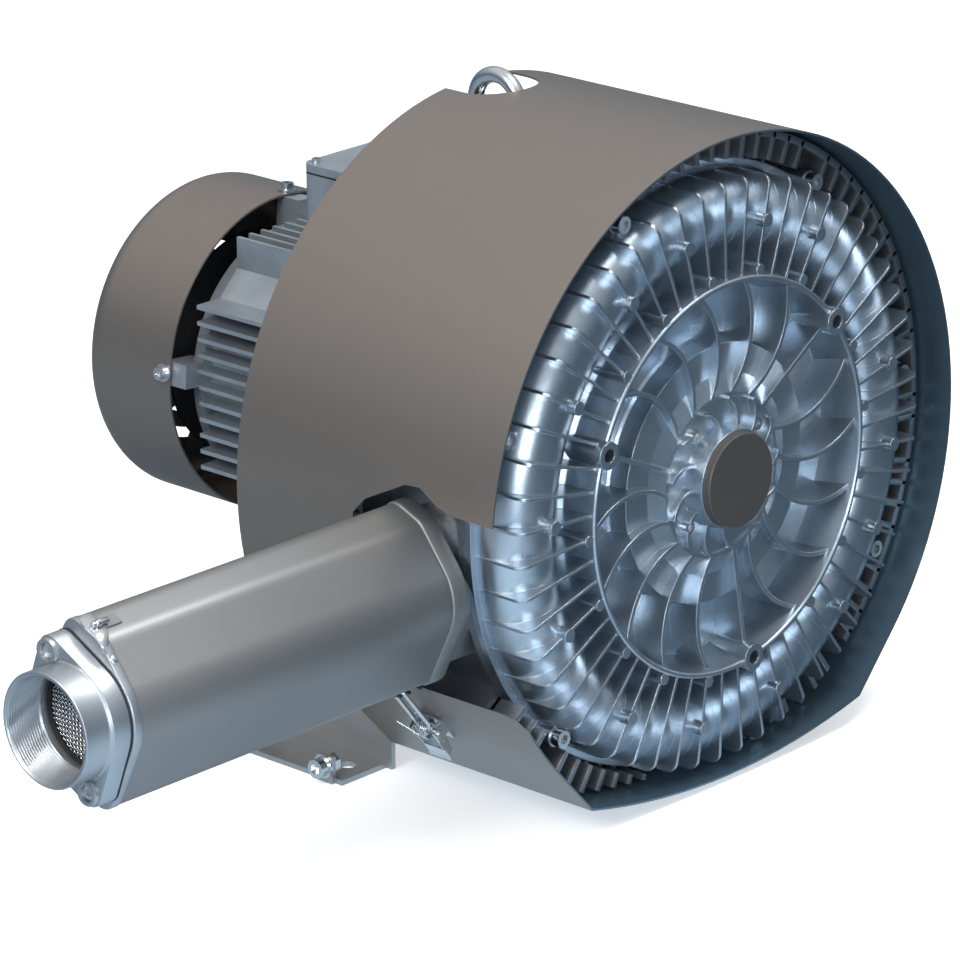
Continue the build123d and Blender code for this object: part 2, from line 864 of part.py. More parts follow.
def flange_screws():
    """Socket screws that hold the motor flange to the rear housing."""
    return [
        socket_screw(5, flange_thickness + 18, 10, spot(flange_screw_circle, 45 + k * 90, flange_rear), (0, -1, 0))
        for k in range(4)
    ]


def frame_section():
    """Section of the finned motor frame: ribs level at the sides and upright above and below."""
    section = Circle(frame_outer)
    steps = range(-5, 6)
    for k in steps:
        offset_k = k * frame_rib_pitch
        section += Pos(0, offset_k) * Rectangle(2 * frame_tip, frame_rib)
        section += Pos(offset_k, 0) * Rectangle(frame_rib, 2 * frame_tip)
    for angle in (45, 135, 225, 315):
        section += Rot(0, 0, angle) * Pos(frame_outer, 0) * Rectangle(18, 34)
    trim = RectangleRounded(2 * frame_tip, 2 * frame_tip, 42)
    return (section & trim) - Circle(frame_bore)


def motor_frame():
    """Finned motor frame with the seat of the terminal box on top."""
    body = slab(frame_section(), frame_front, frame_rear)
    width, length = box_width - 26, box_length - 20
    middle = box_front + box_length / 2
    seat = block((-width / 2, middle - length / 2, frame_outer - 6), (width / 2, middle + length / 2, box_base))
    wires = block((-18, middle - 18, frame_bore - 12), (18, middle + 18, box_base + 1))
    screws = [rod(2.5, (x, y, box_base - 12), (x, y, box_base + 1)) for x, y in box_screw_places()]
    return body + seat - wires - screws


def box_screw_places():
    """The (x, y) places of the screws between the terminal box and the frame."""
    middle = box_front + box_length / 2
    return [(sx * 32, middle + sy * 32) for sx in (-1, 1) for sy in (-1, 1)]


def stator_core():
    """Laminated ring of the stator, with its slots on the bore."""
    ring = tube(frame_bore - running_gap, stator_bore, core_front, core_rear)
    slot = block((stator_bore - 1, core_front - 1, -2), (stator_bore + 17, core_rear + 1, 2))
    return ring - [turn(k * 15) * slot for k in range(24)]


def stator_windings():
    """The two bundles of end turns."""
    ends = []
    for start, end in ((core_front - winding_reach, core_front), (core_rear, core_rear + winding_reach)):
        ends.append(turned(
            (stator_bore + 2, start + 4),
            (stator_bore + 5, start),
            (frame_bore - 8, start),
            (frame_bore - 5, start + 4),
            (frame_bore - 5, end),
            (stator_bore + 2, end),
        ))
    return ends


def rotor_core():
    """Laminated rotor with its short-circuit rings."""
    outer = stator_bore - air_gap
    return turned(
        (rotor_bore + running_gap, core_front - 10),
        (outer - 6, core_front - 10),
        (outer - 6, core_front),
        (outer, core_front),
        (outer, core_rear),
        (outer - 6, core_rear),
        (outer - 6, core_rear + 10),
        (rotor_bore + running_gap, core_rear + 10),
    )


def cowl_screw_angles():
    """Angles of the four screws that hold the fan cowl."""
    return [cowl_screw_phase + 90 * k for k in range(4)]


def rear_shield():
    """Non-drive end shield with the rear bearing's seat and four lugs for the cowl."""
    hub = rear_bearing[1]
    body = turned(
        (rear_bearing[0] + 6, shield_rear),
        (hub, shield_rear),
        (hub + 10, shield_rear),
        (hub + 14, frame_rear + 12),
        (frame_bore, frame_rear + 7),
        (frame_outer + 6, frame_rear + 12),
        (frame_outer + 8, frame_rear),
        (frame_bore - running_gap, frame_rear),
        (frame_bore - running_gap, frame_rear - 5),
        (frame_bore - 5, frame_rear - 5),
        (frame_bore - 6, frame_rear),
        (hub, frame_rear),
        (hub, rear_bearing_front + rear_bearing[2]),
        (rear_bearing[0] + 6, rear_bearing_front + rear_bearing[2]),
    )
    tip = cowl_radius - cowl_sheet
    lug = block((frame_outer - 2, frame_rear, -9), (tip - 1.0, frame_rear + 22, 9))
    adds = [turn(a) * lug for a in cowl_screw_angles()]
    y = cowl_screw_y
    cuts = [rod(3 + running_gap, spot(tip - 13, a, y), spot(tip + 5, a, y)) for a in cowl_screw_angles()]
    return (body + adds - cuts) & disc(tip - running_gap, frame_rear - 20, cowl_rear)


cowl_screw_y = 451.0


def cooling_fan():
    """Plastic fan: hub, back plate and straight radial blades."""
    rear = fan_front + fan_width
    core = turned(
        (fan_seat + running_gap, fan_front),
        (fan_seat + 9, fan_front),
        (fan_seat + 11, fan_front + 4),
        (fan_radius - 8, fan_front + 4),
        (fan_radius - 8, fan_front + 7),
        (fan_seat + 12, fan_front + 7),
        (fan_seat + 10, rear - 4),
        (fan_seat + running_gap, rear - 4),
    )
    blade = plate(
        make_face(
            Polyline(
                (fan_seat + 6, fan_front + 5),
                (fan_radius, fan_front + 5),
                (fan_radius, rear),
                (fan_radius - 30, rear),
                (fan_seat + 6, rear - 12),
                close=True,
            )
        ),
        2.4,
    )
    return core + [turn(k * 360 / fan_blades) * blade for k in range(fan_blades)]


def fan_cowl():
    """Pressed steel cowl with a rounded rear edge, a slotted grille and four screw tabs."""
    def section(radius, rear, corner):
        swing = corner * (1 - math.sqrt(0.5))
        return outline(
            Polyline((0, rear), (radius - corner, rear)),
            ThreePointArc((radius - corner, rear), (radius - swing, rear - swing), (radius, rear - corner)),
            Polyline((radius, rear - corner), (radius, cowl_front), (0, cowl_front), (0, rear)),
        )
    shell = revolve(section(cowl_radius, cowl_rear, cowl_corner), Axis.Y)
    hollow = revolve(section(cowl_radius - cowl_sheet, cowl_rear - cowl_sheet, cowl_corner - cowl_sheet), Axis.Y)
    cuts = [hollow]
    for row, (radius, count) in enumerate(((24, 6), (44, 8), (64, 10), (84, 12))):
        for k in range(count):
            slot = SlotArc(CenterArc((0, 0), radius, 0, 360 / count - 14 * 40 / radius), 8)
            cuts.append(turn(k * 360 / count + row * 11) * slab(slot, cowl_rear - 10, cowl_rear + 1))
    holes = [rod(3 + screw_clearance, spot(cowl_radius - 6, a, cowl_screw_y), spot(cowl_radius + 3, a, cowl_screw_y)) for a in cowl_screw_angles()]
    return shell - cuts - holes


def cowl_screws():
    """Screws with washers that hold the cowl to the lugs of the rear shield."""
    screws = []
    for a in cowl_screw_angles():
        out = spot(1, a, 0)
        screw = socket_screw(3, 10, 5, spot(cowl_radius + 1.5, a, cowl_screw_y), (-out[0], 0, -out[2]))
        washer = rod(7, spot(cowl_radius + 0.1, a, cowl_screw_y), spot(cowl_radius + 1.5, a, cowl_screw_y))
        screws.append(screw + (washer - rod(2, spot(cowl_radius - 1, a, cowl_screw_y), spot(cowl_radius + 3, a, cowl_screw_y))))
    return screws


# Terminal box

def box_bounds(inset, low, high):
    """Rounded block on the plan of the terminal box."""
    plan = RectangleRounded(box_width - 2 * inset, box_length - 2 * inset, max(9 - inset, 1))
    return Pos(0, box_front + box_length / 2, low) * extrude(plan, high - low)


def terminal_box():
    """Cast terminal box, open at the top, with an entry for the gland on its left side."""
    middle = box_front + box_length / 2
    body = box_bounds(0, box_base, box_top) - box_bounds(box_wall, box_base + box_wall, box_top + 1)
    corners = [
        Pos(sx * (box_width / 2 - 8), middle + sy * (box_length / 2 - 8), box_base + 2) * extrude(Circle(6), box_top - box_base - 2)
        for sx in (-1, 1) for sy in (-1, 1)
    ]
    body = body + corners
    cuts = [rod(2.1, (x, y, box_top - 16), (x, y, box_top + 1)) for x, y in lid_screw_places()]
    cuts += [rod(3 + screw_clearance, (x, y, box_base - 1), (x, y, box_base + box_wall + 1)) for x, y in box_screw_places()]
    cuts.append(block((-15, middle - 15, box_base - 1), (15, middle + 15, box_base + box_wall + 1)))
    cuts += [rod(gland_radius, (side * (box_width / 2 - 8), y, gland_z), (side * (box_width / 2 + 1), y, gland_z)) for side, y in ((1, gland_y), (1, plug_y))]
    return body - cuts


gland_radius = 12.0
gland_z = 141.0
gland_y = box_front + box_length / 2 - 24
plug_y = box_front + box_length / 2 + 24


def lid_screw_places():
    """The (x, y) places of the lid screws."""
    middle = box_front + box_length / 2
    return [(sx * (box_width / 2 - 8), middle + sy * (box_length / 2 - 8)) for sx in (-1, 1) for sy in (-1, 1)]


def terminal_lid():
    """Lid of the terminal box."""
    low = box_top + gasket_thickness
    holes = [rod(2 + screw_clearance, (x, y, low - 1), (x, y, low + lid_thickness + 1)) for x, y in lid_screw_places()]
    return box_bounds(0, low, low + lid_thickness) - holes


def lid_gasket():
    """Rubber gasket under the lid."""
    holes = [rod(2 + screw_clearance, (x, y, box_top - 1), (x, y, box_top + 3)) for x, y in lid_screw_places()]
    return box_bounds(0, box_top, box_top + gasket_thickness) - box_bounds(box_wall, box_top - 1, box_top + 3) - holes


def lid_screws():
    """Screws of the lid."""
    top = box_top + gasket_thickness + lid_thickness
    return [socket_screw(2, lid_thickness + 12, 3, (x, y, top), (0, 0, -1)) for x, y in lid_screw_places()]


def box_screws():
    """Screws between the terminal box and the motor frame."""
    return [socket_screw(2.4, 13, 4, (x, y, box_base + box_wall), (0, 0, -1)) for x, y in box_screw_places()]


def terminal_block():
    """Insulating block with six studs."""
    middle = box_front + box_length / 2
    low = box_base + box_wall
    body = block((-27, middle + 18, low), (27, middle + 44, low + 12))
    studs = [rod(2.2, (x, middle + y, low + 11), (x, middle + y, low + 24)) for x in (-17, 0, 17) for y in (25, 37)]
    return body + studs


def entry_fitting(y, bore):
    """Threaded body in a cable entry: hexagon outside, thread through the wall."""
    wall = box_width / 2
    body = rod(gland_radius - running_gap, (wall - box_wall - 3, y, gland_z), (wall, y, gland_z))
    cap = Plane(origin=(wall, y, gland_z), z_dir=(1, 0, 0)) * extrude(RegularPolygon(15, 6), 8)
    nose = rod(11, (wall + 8, y, gland_z), (wall + (22 if bore else 11), y, gland_z))
    piece = body + cap + nose
    return piece - rod(bore, (wall - 20, y, gland_z), (wall + 30, y, gland_z)) if bore else piece


# Jacket

def jacket_outline():
    """Outside of the jacket in (x, z): a circle that runs straight down to two creases over a bowed base."""
    reach = math.hypot(crease_x, crease_z)
    lean = math.degrees(math.atan2(crease_z, crease_x)) + math.degrees(math.acos(jacket_radius / reach))
    right = spot(jacket_radius, lean, 0)
    start, crease = (right[0], right[2]), (crease_x, crease_z)
    mirrored = (-right[0], right[2])
    return outline(
        ThreePointArc(start, (0, jacket_radius), mirrored),
        Line(mirrored, (-crease_x, crease_z)),
        ThreePointArc((-crease_x, crease_z), (0, crease_z - jacket_sag), crease),
        Line(crease, start),
    )


def side_cut(points, side):
    """Cut through one side of the jacket, drawn in (y, z)."""
    face = Plane.YZ * make_face(Polyline(*points, close=True))
    return extrude(Pos(side * 120, 0, 0) * face, side * (jacket_radius - 110), dir=(1, 0, 0))


def jacket():
    """Bent sheet jacket: the inlet's cut-out is open to the front, the outlet's to the rear."""
    whole = jacket_outline()
    sheet = slab(whole - offset(whole, -jacket_sheet), jacket_front, jacket_rear)
    top, low = port_z + 66, port_z - 82
    inlet = side_cut(
        [
            (jacket_front - 1, top),
            (inlet_y - 40, top),
            (inlet_y - 26, top + 4),
            (inlet_y - 10, top + 13),
            (inlet_y + 4, top + 12),
            (inlet_y + 40, top - 6),
            (inlet_y + 51, top - 18),
            (inlet_y + 51, low + 60),
            (inlet_y + 44, low + 44),
            (seam_front, low + 32),
            (seam_front, low),
            (jacket_front + 20, low),
            (jacket_front + 8, low - 3),
            (jacket_front - 1, low - 14),
        ],
        -1,
    )
    outlet = side_cut(
        [
            (jacket_rear + 1, port_z + 78),
            (outlet_y - 36, port_z + 78),
            (outlet_y - 49, port_z + 62),
            (outlet_y - 49, port_z - 66),
            (outlet_y - 36, port_z - 82),
            (jacket_rear + 1, port_z - 82),
        ],
        1,
    )
    notch_radius = 32.0
    notch = Pos(0, eye_y + 3, 0) * Circle(notch_radius)
    notch += Pos(0, eye_y + 3 + 20) * Rectangle(2 * notch_radius, 40)
    notch = extrude(Pos(0, 0, 180) * notch, 100)
    base = block((-300, jacket_low_rear, -300), (300, jacket_rear + 1, crease_z + 74))
    base = fillet(base.edges().filter_by(Axis.X).sort_by(Axis.Y)[:2].sort_by(Axis.Z)[-1], 12)
    seam = turn(seam_angle) * block((jacket_radius - 8, seam_front - 1, -1.5), (jacket_radius + 8, jacket_rear + 1, 1.5))
    rivets = [rod(1.6, *latch_line(u, v, -4, 3)) for u, v in rivet_places()]
    rivets += [rod(1.6, *pair) for pair in keeper_lines(-4, 4)]
    return sheet - [inlet, outlet, notch, base, seam] - rivets


# Draw latch on the lower left of the jacket, in a frame of its own:
# u runs up round the jacket towards the keeper, v to the rear and w outwards from the sheet.
latch_angle = 219.0
latch_y = 108.0
lever_pivot = (3.0, 8.0)
bail_pivot = (-7.0, 7.2)
keeper_u = 52.0
bail_wire = 1.6
bail_half = 6.5
lever_length = 40.0
pin_gap = 0.08
keeper_angle = 202.0
seam_angle = 209.0
seam_front = 98.0


def latch_plane():
    """The latch's frame on the outside of the jacket."""
    a = math.radians(latch_angle)
    out = (math.cos(a), 0, math.sin(a))
    up = (math.sin(a), 0, -math.cos(a))
    origin = (jacket_radius * out[0], latch_y, jacket_radius * out[2])
    return Plane(origin=origin, x_dir=up, z_dir=out)


def latch_line(u, v, start, end):
    """Two points on a line through the sheet at (u, v)."""
    plane = latch_plane()
    return plane.from_local_coords((u, v, start)), plane.from_local_coords((u, v, end))


def rivet_places():
    """The (u, v) places of the rivets of the latch base."""
    return [(-2, -6.5), (-2, 6.5)]


def latch_drop(u):
    """How far the curved sheet falls away from the latch frame at u."""
    return jacket_radius - math.sqrt(jacket_radius**2 - u**2)


def latch_base():
    """Channel-shaped base of the latch with two ears for the lever's pin."""
    plane = latch_plane()
    u, w = lever_pivot
    floor = Box(22, 26, 1.5, align=(Align.CENTER, Align.CENTER, Align.MIN))
    ears = [Pos(u, side * 12.25, 0) * Box(10, 1.5, w + 4, align=(Align.CENTER, Align.CENTER, Align.MIN)) for side in (-1, 1)]
    shape = floor + ears
    bore = Pos(u, 0, w) * Rot(90, 0, 0) * Cylinder(2 + pin_gap, 40)
    holes = [Pos(p[0], p[1], 0) * Cylinder(1.6, 8) for p in rivet_places()]
    return plane * (Pos(0, 0, 0.02) * shape - bore - holes)


def latch_rivets():
    """Rivets that hold the latch base to the jacket."""
    pieces = []
    for u, v in rivet_places():
        shank = Pos(u, v, -1.5 - 0.6) * extrude(Circle(1.5), 3.8)
        head = Pos(u, v, 1.56) * extrude(Circle(3), 1)
        tail = Pos(u, v, -jacket_sheet - 0.9) * extrude(Circle(2.6), 0.8)
        pieces.append(latch_plane() * (shank + head + tail))
    return pieces


def latch_lever():
    """Bent sheet lever between the ears, with a lifted tip."""
    u, w = lever_pivot
    bu, bw = bail_pivot
    side_face = make_face(Polyline(
        (u + 4, w - 3.5), (u + 4, w + 3.5), (bu, w + 4), (u - 22, w + 2.5), (u - 22, w - 1), (bu, w - 4), close=True,
    ))
    sides = [Pos(0, v, 0) * extrude(Rot(90, 0, 0) * side_face, 1.2, both=False) for v in (10.6, -9.4)]
    back = make_face(Polyline(
        (u - 16, w + 2.5), (u - 16, w + 3.8), (u - 24, w + 3.8), (u - lever_length, w + 9), (u - lever_length, w + 7.7), (u - 24, w + 2.5), close=True,
    ))
    spine = Pos(0, 10.6, 0) * extrude(Rot(90, 0, 0) * back, 21.2)
    shape = spine + sides
    pivot = Pos(u, 0, w) * Rot(90, 0, 0) * Cylinder(2 + pin_gap, 40)
    eye = Pos(bu, 0, bw) * Rot(90, 0, 0) * Cylinder(bail_wire + pin_gap, 40)
    return latch_plane() * (shape - pivot - eye)


def latch_pins():
    """Two rivets that join the ears and the lever, with room for the bail between them."""
    u, w = lever_pivot
    pins = []
    for side in (-1, 1):
        shank = Pos(u, side * 11.1, w) * Rot(90, 0, 0) * Cylinder(2, 4.2)
        head = Pos(u, side * 13.7, w) * Rot(90, 0, 0) * Cylinder(3.2, 1.2)
        pins.append(latch_plane() * (shank + head))
    return pins


def latch_bail():
    """Bent wire from the lever's eyes round the keeper."""
    bu, bw = bail_pivot
    tip = 11.0
    path = FilletPolyline(
        (bu, -tip, bw),
        (bu, -bail_half, bw),
        (keeper_u, -bail_half, bw),
        (keeper_u, bail_half, bw),
        (bu, bail_half, bw),
        (bu, tip, bw),
        radius=bail_wire + 0.9,
    )
    wire = sweep(Plane(origin=path @ 0, z_dir=path % 0) * Circle(bail_wire), path=path)
    return latch_plane() * wire


def keeper_point(along, above):
    """Point (u, w) of the latch frame, given along and above the keeper's foot on the curved sheet."""
    lean = math.radians(latch_angle - keeper_angle)
    u = (jacket_radius + above) * math.sin(lean) + along * math.cos(lean)
    w = (jacket_radius + above) * math.cos(lean) - along * math.sin(lean) - jacket_radius
    return u, w


def keeper_lines(start, end):
    """Two points on each line through the sheet where a rivet holds the keeper."""
    plane = latch_plane()
    pairs = []
    for v in (-5, 5):
        (u1, w1), (u2, w2) = keeper_point(1, start), keeper_point(1, end)
        pairs.append((plane.from_local_coords((u1, v, w1)), plane.from_local_coords((u2, v, w2))))
    return pairs


def latch_keeper():
    """Bent strip on the jacket's upper edge, with the hook that the bail pulls on."""
    bw = bail_pivot[1]
    gap = bail_wire + 0.3
    hook = make_face(Polyline(
        (keeper_u - gap - 2, bw + gap + 1.5),
        (keeper_u - gap - 2, bw - gap - 2),
        (keeper_u + 8, bw - gap - 2),
        keeper_point(-7, 0.02),
        keeper_point(8, 0.02),
        keeper_point(8, 2.02),
        keeper_point(-5.6, 2.02),
        (keeper_u + 9.3, bw - gap),
        (keeper_u - gap, bw - gap),
        (keeper_u - gap, bw + gap + 1.5),
        close=True,
    ))
    strip = Pos(0, 9, 0) * extrude(Rot(90, 0, 0) * hook, 18)
    for side in (-1, 1):
        strip -= Pos(keeper_u - gap - 1, side * 9.2, bw + 1.5) * Box(4, 10, 2 * gap + 3)
    return latch_plane() * strip - [rod(1.6, *pair) for pair in keeper_lines(-2, 4)]


def keeper_rivets():
    """Rivets that hold the keeper to the jacket."""
    pieces = []
    for reach in zip(keeper_lines(-jacket_sheet - 0.9, 3), keeper_lines(-jacket_sheet - 0.9, -jacket_sheet - 0.1), keeper_lines(2.05, 3.05)):
        for shank, tail, head in [reach]:
            pieces.append(rod(1.5, *shank) + rod(2.6, *tail) + rod(3, *head))
    return pieces


# Ports and the silencer

def collar():
    """Thick end flange of the silencer, screwed to the inlet throat."""
    body = port_solid(-1, inlet_y, throat_face, throat_face + collar_thickness)
    bore = port_rod(-1, inlet_y, port_bore - 4, throat_face - 1, throat_face + collar_thickness + 1)
    ties = [port_rod(-1, inlet_y, tie_radius + screw_clearance, throat_face - 1, throat_face + 30, p) for p in tie_points(-1)]
    return body - [bore, *ties]


def silencer_tube():
    """Extruded silencer tube with bosses for the long tie screws."""
    start, end = throat_face + collar_thickness, silencer_end
    shell = port_solid(-1, inlet_y, start, end)
    hollow = port_solid(-1, inlet_y, start - 1, end + 1, -tube_wall)
    bosses = [port_rod(-1, inlet_y, tie_radius + 4.5, start, end, p) for p in tie_points(-1)]
    cores = [port_rod(-1, inlet_y, tie_radius + screw_clearance, start - 1, end + 1, p) for p in tie_points(-1)]
    screw_hole = facet_plane(silencer_end - 20) * (Pos(4, 0, 0) * Cylinder(2 + running_gap, 10))
    body = shell - hollow + bosses
    return body - [*cores, screw_hole]


def silencer_foam():
    """Foam lining of the silencer."""
    start, end = throat_face + collar_thickness + 0.5, silencer_end - 0.5
    body = port_solid(-1, inlet_y, start, end, -tube_wall - 0.4)
    bore = port_rod(-1, inlet_y, 27.0, start - 1, end + 1)
    ties = [port_rod(-1, inlet_y, tie_radius + 5.2, start - 1, end + 1, p) for p in tie_points(-1)]
    return body - [bore, *ties]


def end_gasket(side, y, start):
    """Rubber gasket with the flange's outline."""
    body = port_solid(side, y, start, start + gasket_thickness)
    bore = port_rod(side, y, port_bore - 1, start - 1, start + gasket_thickness + 1)
    ties = [port_rod(side, y, tie_radius + screw_clearance, start - 1, start + 3, p) for p in tie_points(side)]
    return body - [bore, *ties]


def port_flange_piece(side, y, start):
    """Cast end flange with a threaded round port and two lugs for the tie screws."""
    end = start + port_flange
    body = port_solid(side, y, start, end)
    body += port_rod(side, y, port_outer, end - 1, end + port_reach)
    heads = [port_rod(side, y, tie_radius * 1.6 + 0.6, end - 6, end + port_reach + 1, p) for p in tie_points(side)]
    ties = [port_rod(side, y, tie_radius + screw_clearance, start - 1, end + 1, p) for p in tie_points(side)]
    bore = port_rod(side, y, port_bore, start - 1, end + port_reach + 1)
    return body - heads - [bore, *ties]


def tie_screws(side, y, head, length):
    """The two screws of a port flange, their heads sunk in its lugs."""
    screws = []
    for p in tie_points(side):
        plane = port_plane(side, y, head)
        place = plane.from_local_coords((p[0], p[1], 0))
        screws.append(socket_screw(tie_radius - 0.8, length, 7, place, (-side, 0, 0)))
    return screws


def inlet_screen():
    """Perforated disc behind the inlet port."""
    start = silencer_end - 3
    body = port_rod(-1, inlet_y, 26.8, start, start + 1)
    holes = []
    for row in range(-3, 4):
        for column in range(-3, 4):
            point = (column * 7 + (row % 2) * 3.5, row * 6.2)
            if math.hypot(*point) < 22:
                holes.append(port_rod(-1, inlet_y, 2.3, start - 1, start + 2, point))
    return body - holes


def facet_plane(x):
    """Plane on the silencer's upper facet at a distance from the shaft, its first axis towards the shaft."""
    (ay, az), (by, bz) = (17, 67), (-14, 54)
    middle = (-x, inlet_y + (ay + by) / 2, port_z + (az + bz) / 2)
    return Plane(origin=middle, x_dir=(1, 0, 0), z_dir=(0, bz - az, ay - by))


def tube_clamp():
    """Galvanised clamp plate on the silencer's upper facet, next to the end flange."""
    plate_body = Pos(0, 0, 1.5) * Box(34, 15, 3)
    lip = Pos(-15.5, 0, 4.5) * Box(3, 15, 3)
    hole = Pos(4, 0, 0) * Cylinder(2 + screw_clearance, 20)
    return facet_plane(silencer_end - 20) * (plate_body + lip - hole)


def clamp_screw():
    """Screw of the clamp plate, let into the tube's wall."""
    head = Pos(4, 0, 3) * extrude(Circle(4), 5)
    shank = Pos(4, 0, -2) * extrude(Circle(2), 5.5)
    slot = Pos(4, 0, 7.2) * Box(9, 1.2, 1.8)
    return facet_plane(silencer_end - 20) * (head + shank - slot)


# Feet

def foot(side):
    """Bent foot: a wing to bolt down, a web and a plate screwed to the housing, and a small ear."""
    floor = -shaft_height
    rear = foot_front + foot_length
    inner = foot_web_x - foot_sheet
    back = foot_front - foot_sheet
    wing = block((inner, foot_front + 1.5, floor), (foot_edge, rear, floor + foot_sheet))
    web = block((inner, back, floor), (foot_web_x, rear, foot_web_top))
    slope = make_face(Polyline((foot_front + 34, foot_web_top + 1), (rear + 1, foot_web_top + 1), (rear + 1, floor + 22), close=True))
    web -= extrude(Plane.YZ.offset(inner - 1) * slope, foot_sheet + 2)
    fixing = block((foot_screw_x - 16, back, floor + 20), (foot_web_x, foot_front, foot_screws_z[0] + 16))
    y, z = foot_front + foot_ear_y, floor + foot_ear_z
    ear = block((foot_edge - 1, y - 8, floor), (foot_edge + foot_ear_reach, y + 8, z + 8))
    body = wing + web + fixing + ear
    cuts = [rod(foot_hole_radius, (foot_hole_x, h, floor - 1), (foot_hole_x, h, floor + foot_sheet + 1)) for h in foot_hole_places()]
    cuts += [rod(5 + screw_clearance, (foot_screw_x, back - 1, sz), (foot_screw_x, foot_front + 1, sz)) for sz in foot_screws_z]
    cuts.append(rod(4.5 + screw_clearance, (foot_edge - 10, y, z), (foot_edge + 10, y, z)))
    body = body - cuts
    return body if side > 0 else mirror(body, Plane.YZ)


def foot_hole_places():
    """The y places of the holes in a foot."""
    return [foot_centre_y - foot_hole_pitch / 2, foot_centre_y + foot_hole_pitch / 2]


def foot_screws():
    """Screws through the feet's plates into the rear housing."""
    return [socket_screw(5, foot_sheet + 20, 10, (x, foot_front, z), (0, -1, 0)) for x, z in foot_screw_places()]


def ear_screws():
    """Screw, washer and nut on each foot's ear."""
    pieces = []
    y, z = foot_front + foot_ear_y, -shaft_height + foot_ear_z
    for side in (-1, 1):
        face, inner = side * (foot_edge + foot_ear_reach), side * (foot_edge - 1)
        washer = rod(9, (face, y, z), (face + side * 1.5, y, z)) - rod(3, (face - side, y, z), (face + side * 3, y, z))
        pieces.append(socket_screw(4.5, 14, 8, (face + side * 1.5, y, z), (-side, 0, 0)) + washer)
        pieces.append(hexagon_nut(4.5 + running_gap, 13, 6.5, (inner, y, z), (-side, 0, 0)))
    return pieces


def write_all():
    """Builds every piece and writes one file each."""
    os.makedirs("parts", exist_ok=True)
    pieces = {
        "front_cover": front_cover(),
        "centre_cap": centre_cap(),
        "hub_screws": hub_screws(),
        "cover_screws": cover_screws(),
        "middle_housing": middle_housing(),
        "rear_housing": rear_housing(),
        "lifting_eye": lifting_eye(),
        "front_impeller": impeller(first_split, *front_hub),
        "rear_impeller": impeller(second_split, *rear_hub),
        "shaft": shaft(),
        "shaft_sleeve": shaft_sleeve(),
        "impeller_spacer": impeller_spacer(),
        "shaft_nut": shaft_nut(),
        "front_bearing_outer": bearing_outer(front_bearing, bearing_front),
        "front_bearing_inner": bearing_inner(front_bearing, bearing_front),
        "rear_bearing_outer": bearing_outer(rear_bearing, rear_bearing_front),
        "rear_bearing_inner": bearing_inner(rear_bearing, rear_bearing_front),
        "front_seal": lip_seal(sleeve_radius, seal_front),
        "rear_seal": lip_seal(shaft_radius + 1, motor_seat - spigot_depth - seal_width - 1),
        "motor_flange": motor_flange(),
        "flange_screws": flange_screws(),
        "motor_frame": motor_frame(),
        "stator_core": stator_core(),
        "stator_windings": stator_windings(),
        "rotor_core": rotor_core(),
        "rear_shield": rear_shield(),
        "cooling_fan": cooling_fan(),
        "fan_cowl": fan_cowl(),
        "cowl_screws": cowl_screws(),
        "terminal_box": terminal_box(),
        "terminal_lid": terminal_lid(),
        "lid_gasket": lid_gasket(),
        "lid_screws": lid_screws(),
        "box_screws": box_screws(),
        "terminal_block": terminal_block(),
        "cable_gland": entry_fitting(gland_y, 6.5),
        "blanking_plug": entry_fitting(plug_y, 0),
        "jacket": jacket(),
        "latch_base": latch_base(),
        "latch_rivets": latch_rivets() + keeper_rivets(),
        "latch_lever": latch_lever(),
        "latch_pins": latch_pins(),
        "latch_bail": latch_bail(),
        "latch_keeper": latch_keeper(),
        "silencer_collar": collar(),
        "silencer_tube": silencer_tube(),
        "silencer_foam": silencer_foam(),
        "inlet_gasket": end_gasket(-1, inlet_y, silencer_end),
        "inlet_flange": port_flange_piece(-1, inlet_y, silencer_end + gasket_thickness),
        "inlet_screen": inlet_screen(),
        "silencer_screws": tie_screws(-1, inlet_y, silencer_end + gasket_thickness + port_flange - 6, 330),
        "tube_clamp": tube_clamp(),
        "clamp_screw": clamp_screw(),
        "outlet_gasket": end_gasket(1, outlet_y, throat_face),
        "outlet_flange": port_flange_piece(1, outlet_y, throat_face + gasket_thickness),
        "outlet_screws": tie_screws(1, outlet_y, throat_face + gasket_thickness + port_flange - 6, 22),
        "foot_left": foot(-1),
        "foot_right": foot(1),
        "foot_screws": foot_screws(),
        "ear_screws": ear_screws(),
    }
    for name, piece in pieces.items():
        save(name, Compound([s for part in piece for s in part.solids()]) if isinstance(piece, list) else piece)


write_all()
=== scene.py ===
"""Looks of the side channel blower: finishes, fine details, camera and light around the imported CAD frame."""

import json
import logging
import math
from dataclasses import dataclass
from enum import Enum

import bmesh
import bpy
import numpy as np
from mathutils import Matrix, Vector

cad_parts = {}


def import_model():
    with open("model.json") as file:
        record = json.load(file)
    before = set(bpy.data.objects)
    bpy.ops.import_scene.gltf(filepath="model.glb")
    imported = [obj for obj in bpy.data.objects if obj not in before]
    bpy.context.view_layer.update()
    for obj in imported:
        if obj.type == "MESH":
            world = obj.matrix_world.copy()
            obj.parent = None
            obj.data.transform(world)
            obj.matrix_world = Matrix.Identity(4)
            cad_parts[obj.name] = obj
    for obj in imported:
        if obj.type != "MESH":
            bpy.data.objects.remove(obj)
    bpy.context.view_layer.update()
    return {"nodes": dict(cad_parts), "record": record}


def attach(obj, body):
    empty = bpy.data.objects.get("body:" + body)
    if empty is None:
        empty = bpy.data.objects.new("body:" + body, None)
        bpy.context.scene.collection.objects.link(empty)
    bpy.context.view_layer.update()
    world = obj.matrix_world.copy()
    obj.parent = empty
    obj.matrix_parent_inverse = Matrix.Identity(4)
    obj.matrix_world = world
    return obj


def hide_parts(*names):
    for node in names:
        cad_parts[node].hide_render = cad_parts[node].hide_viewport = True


log = logging.getLogger("blower")

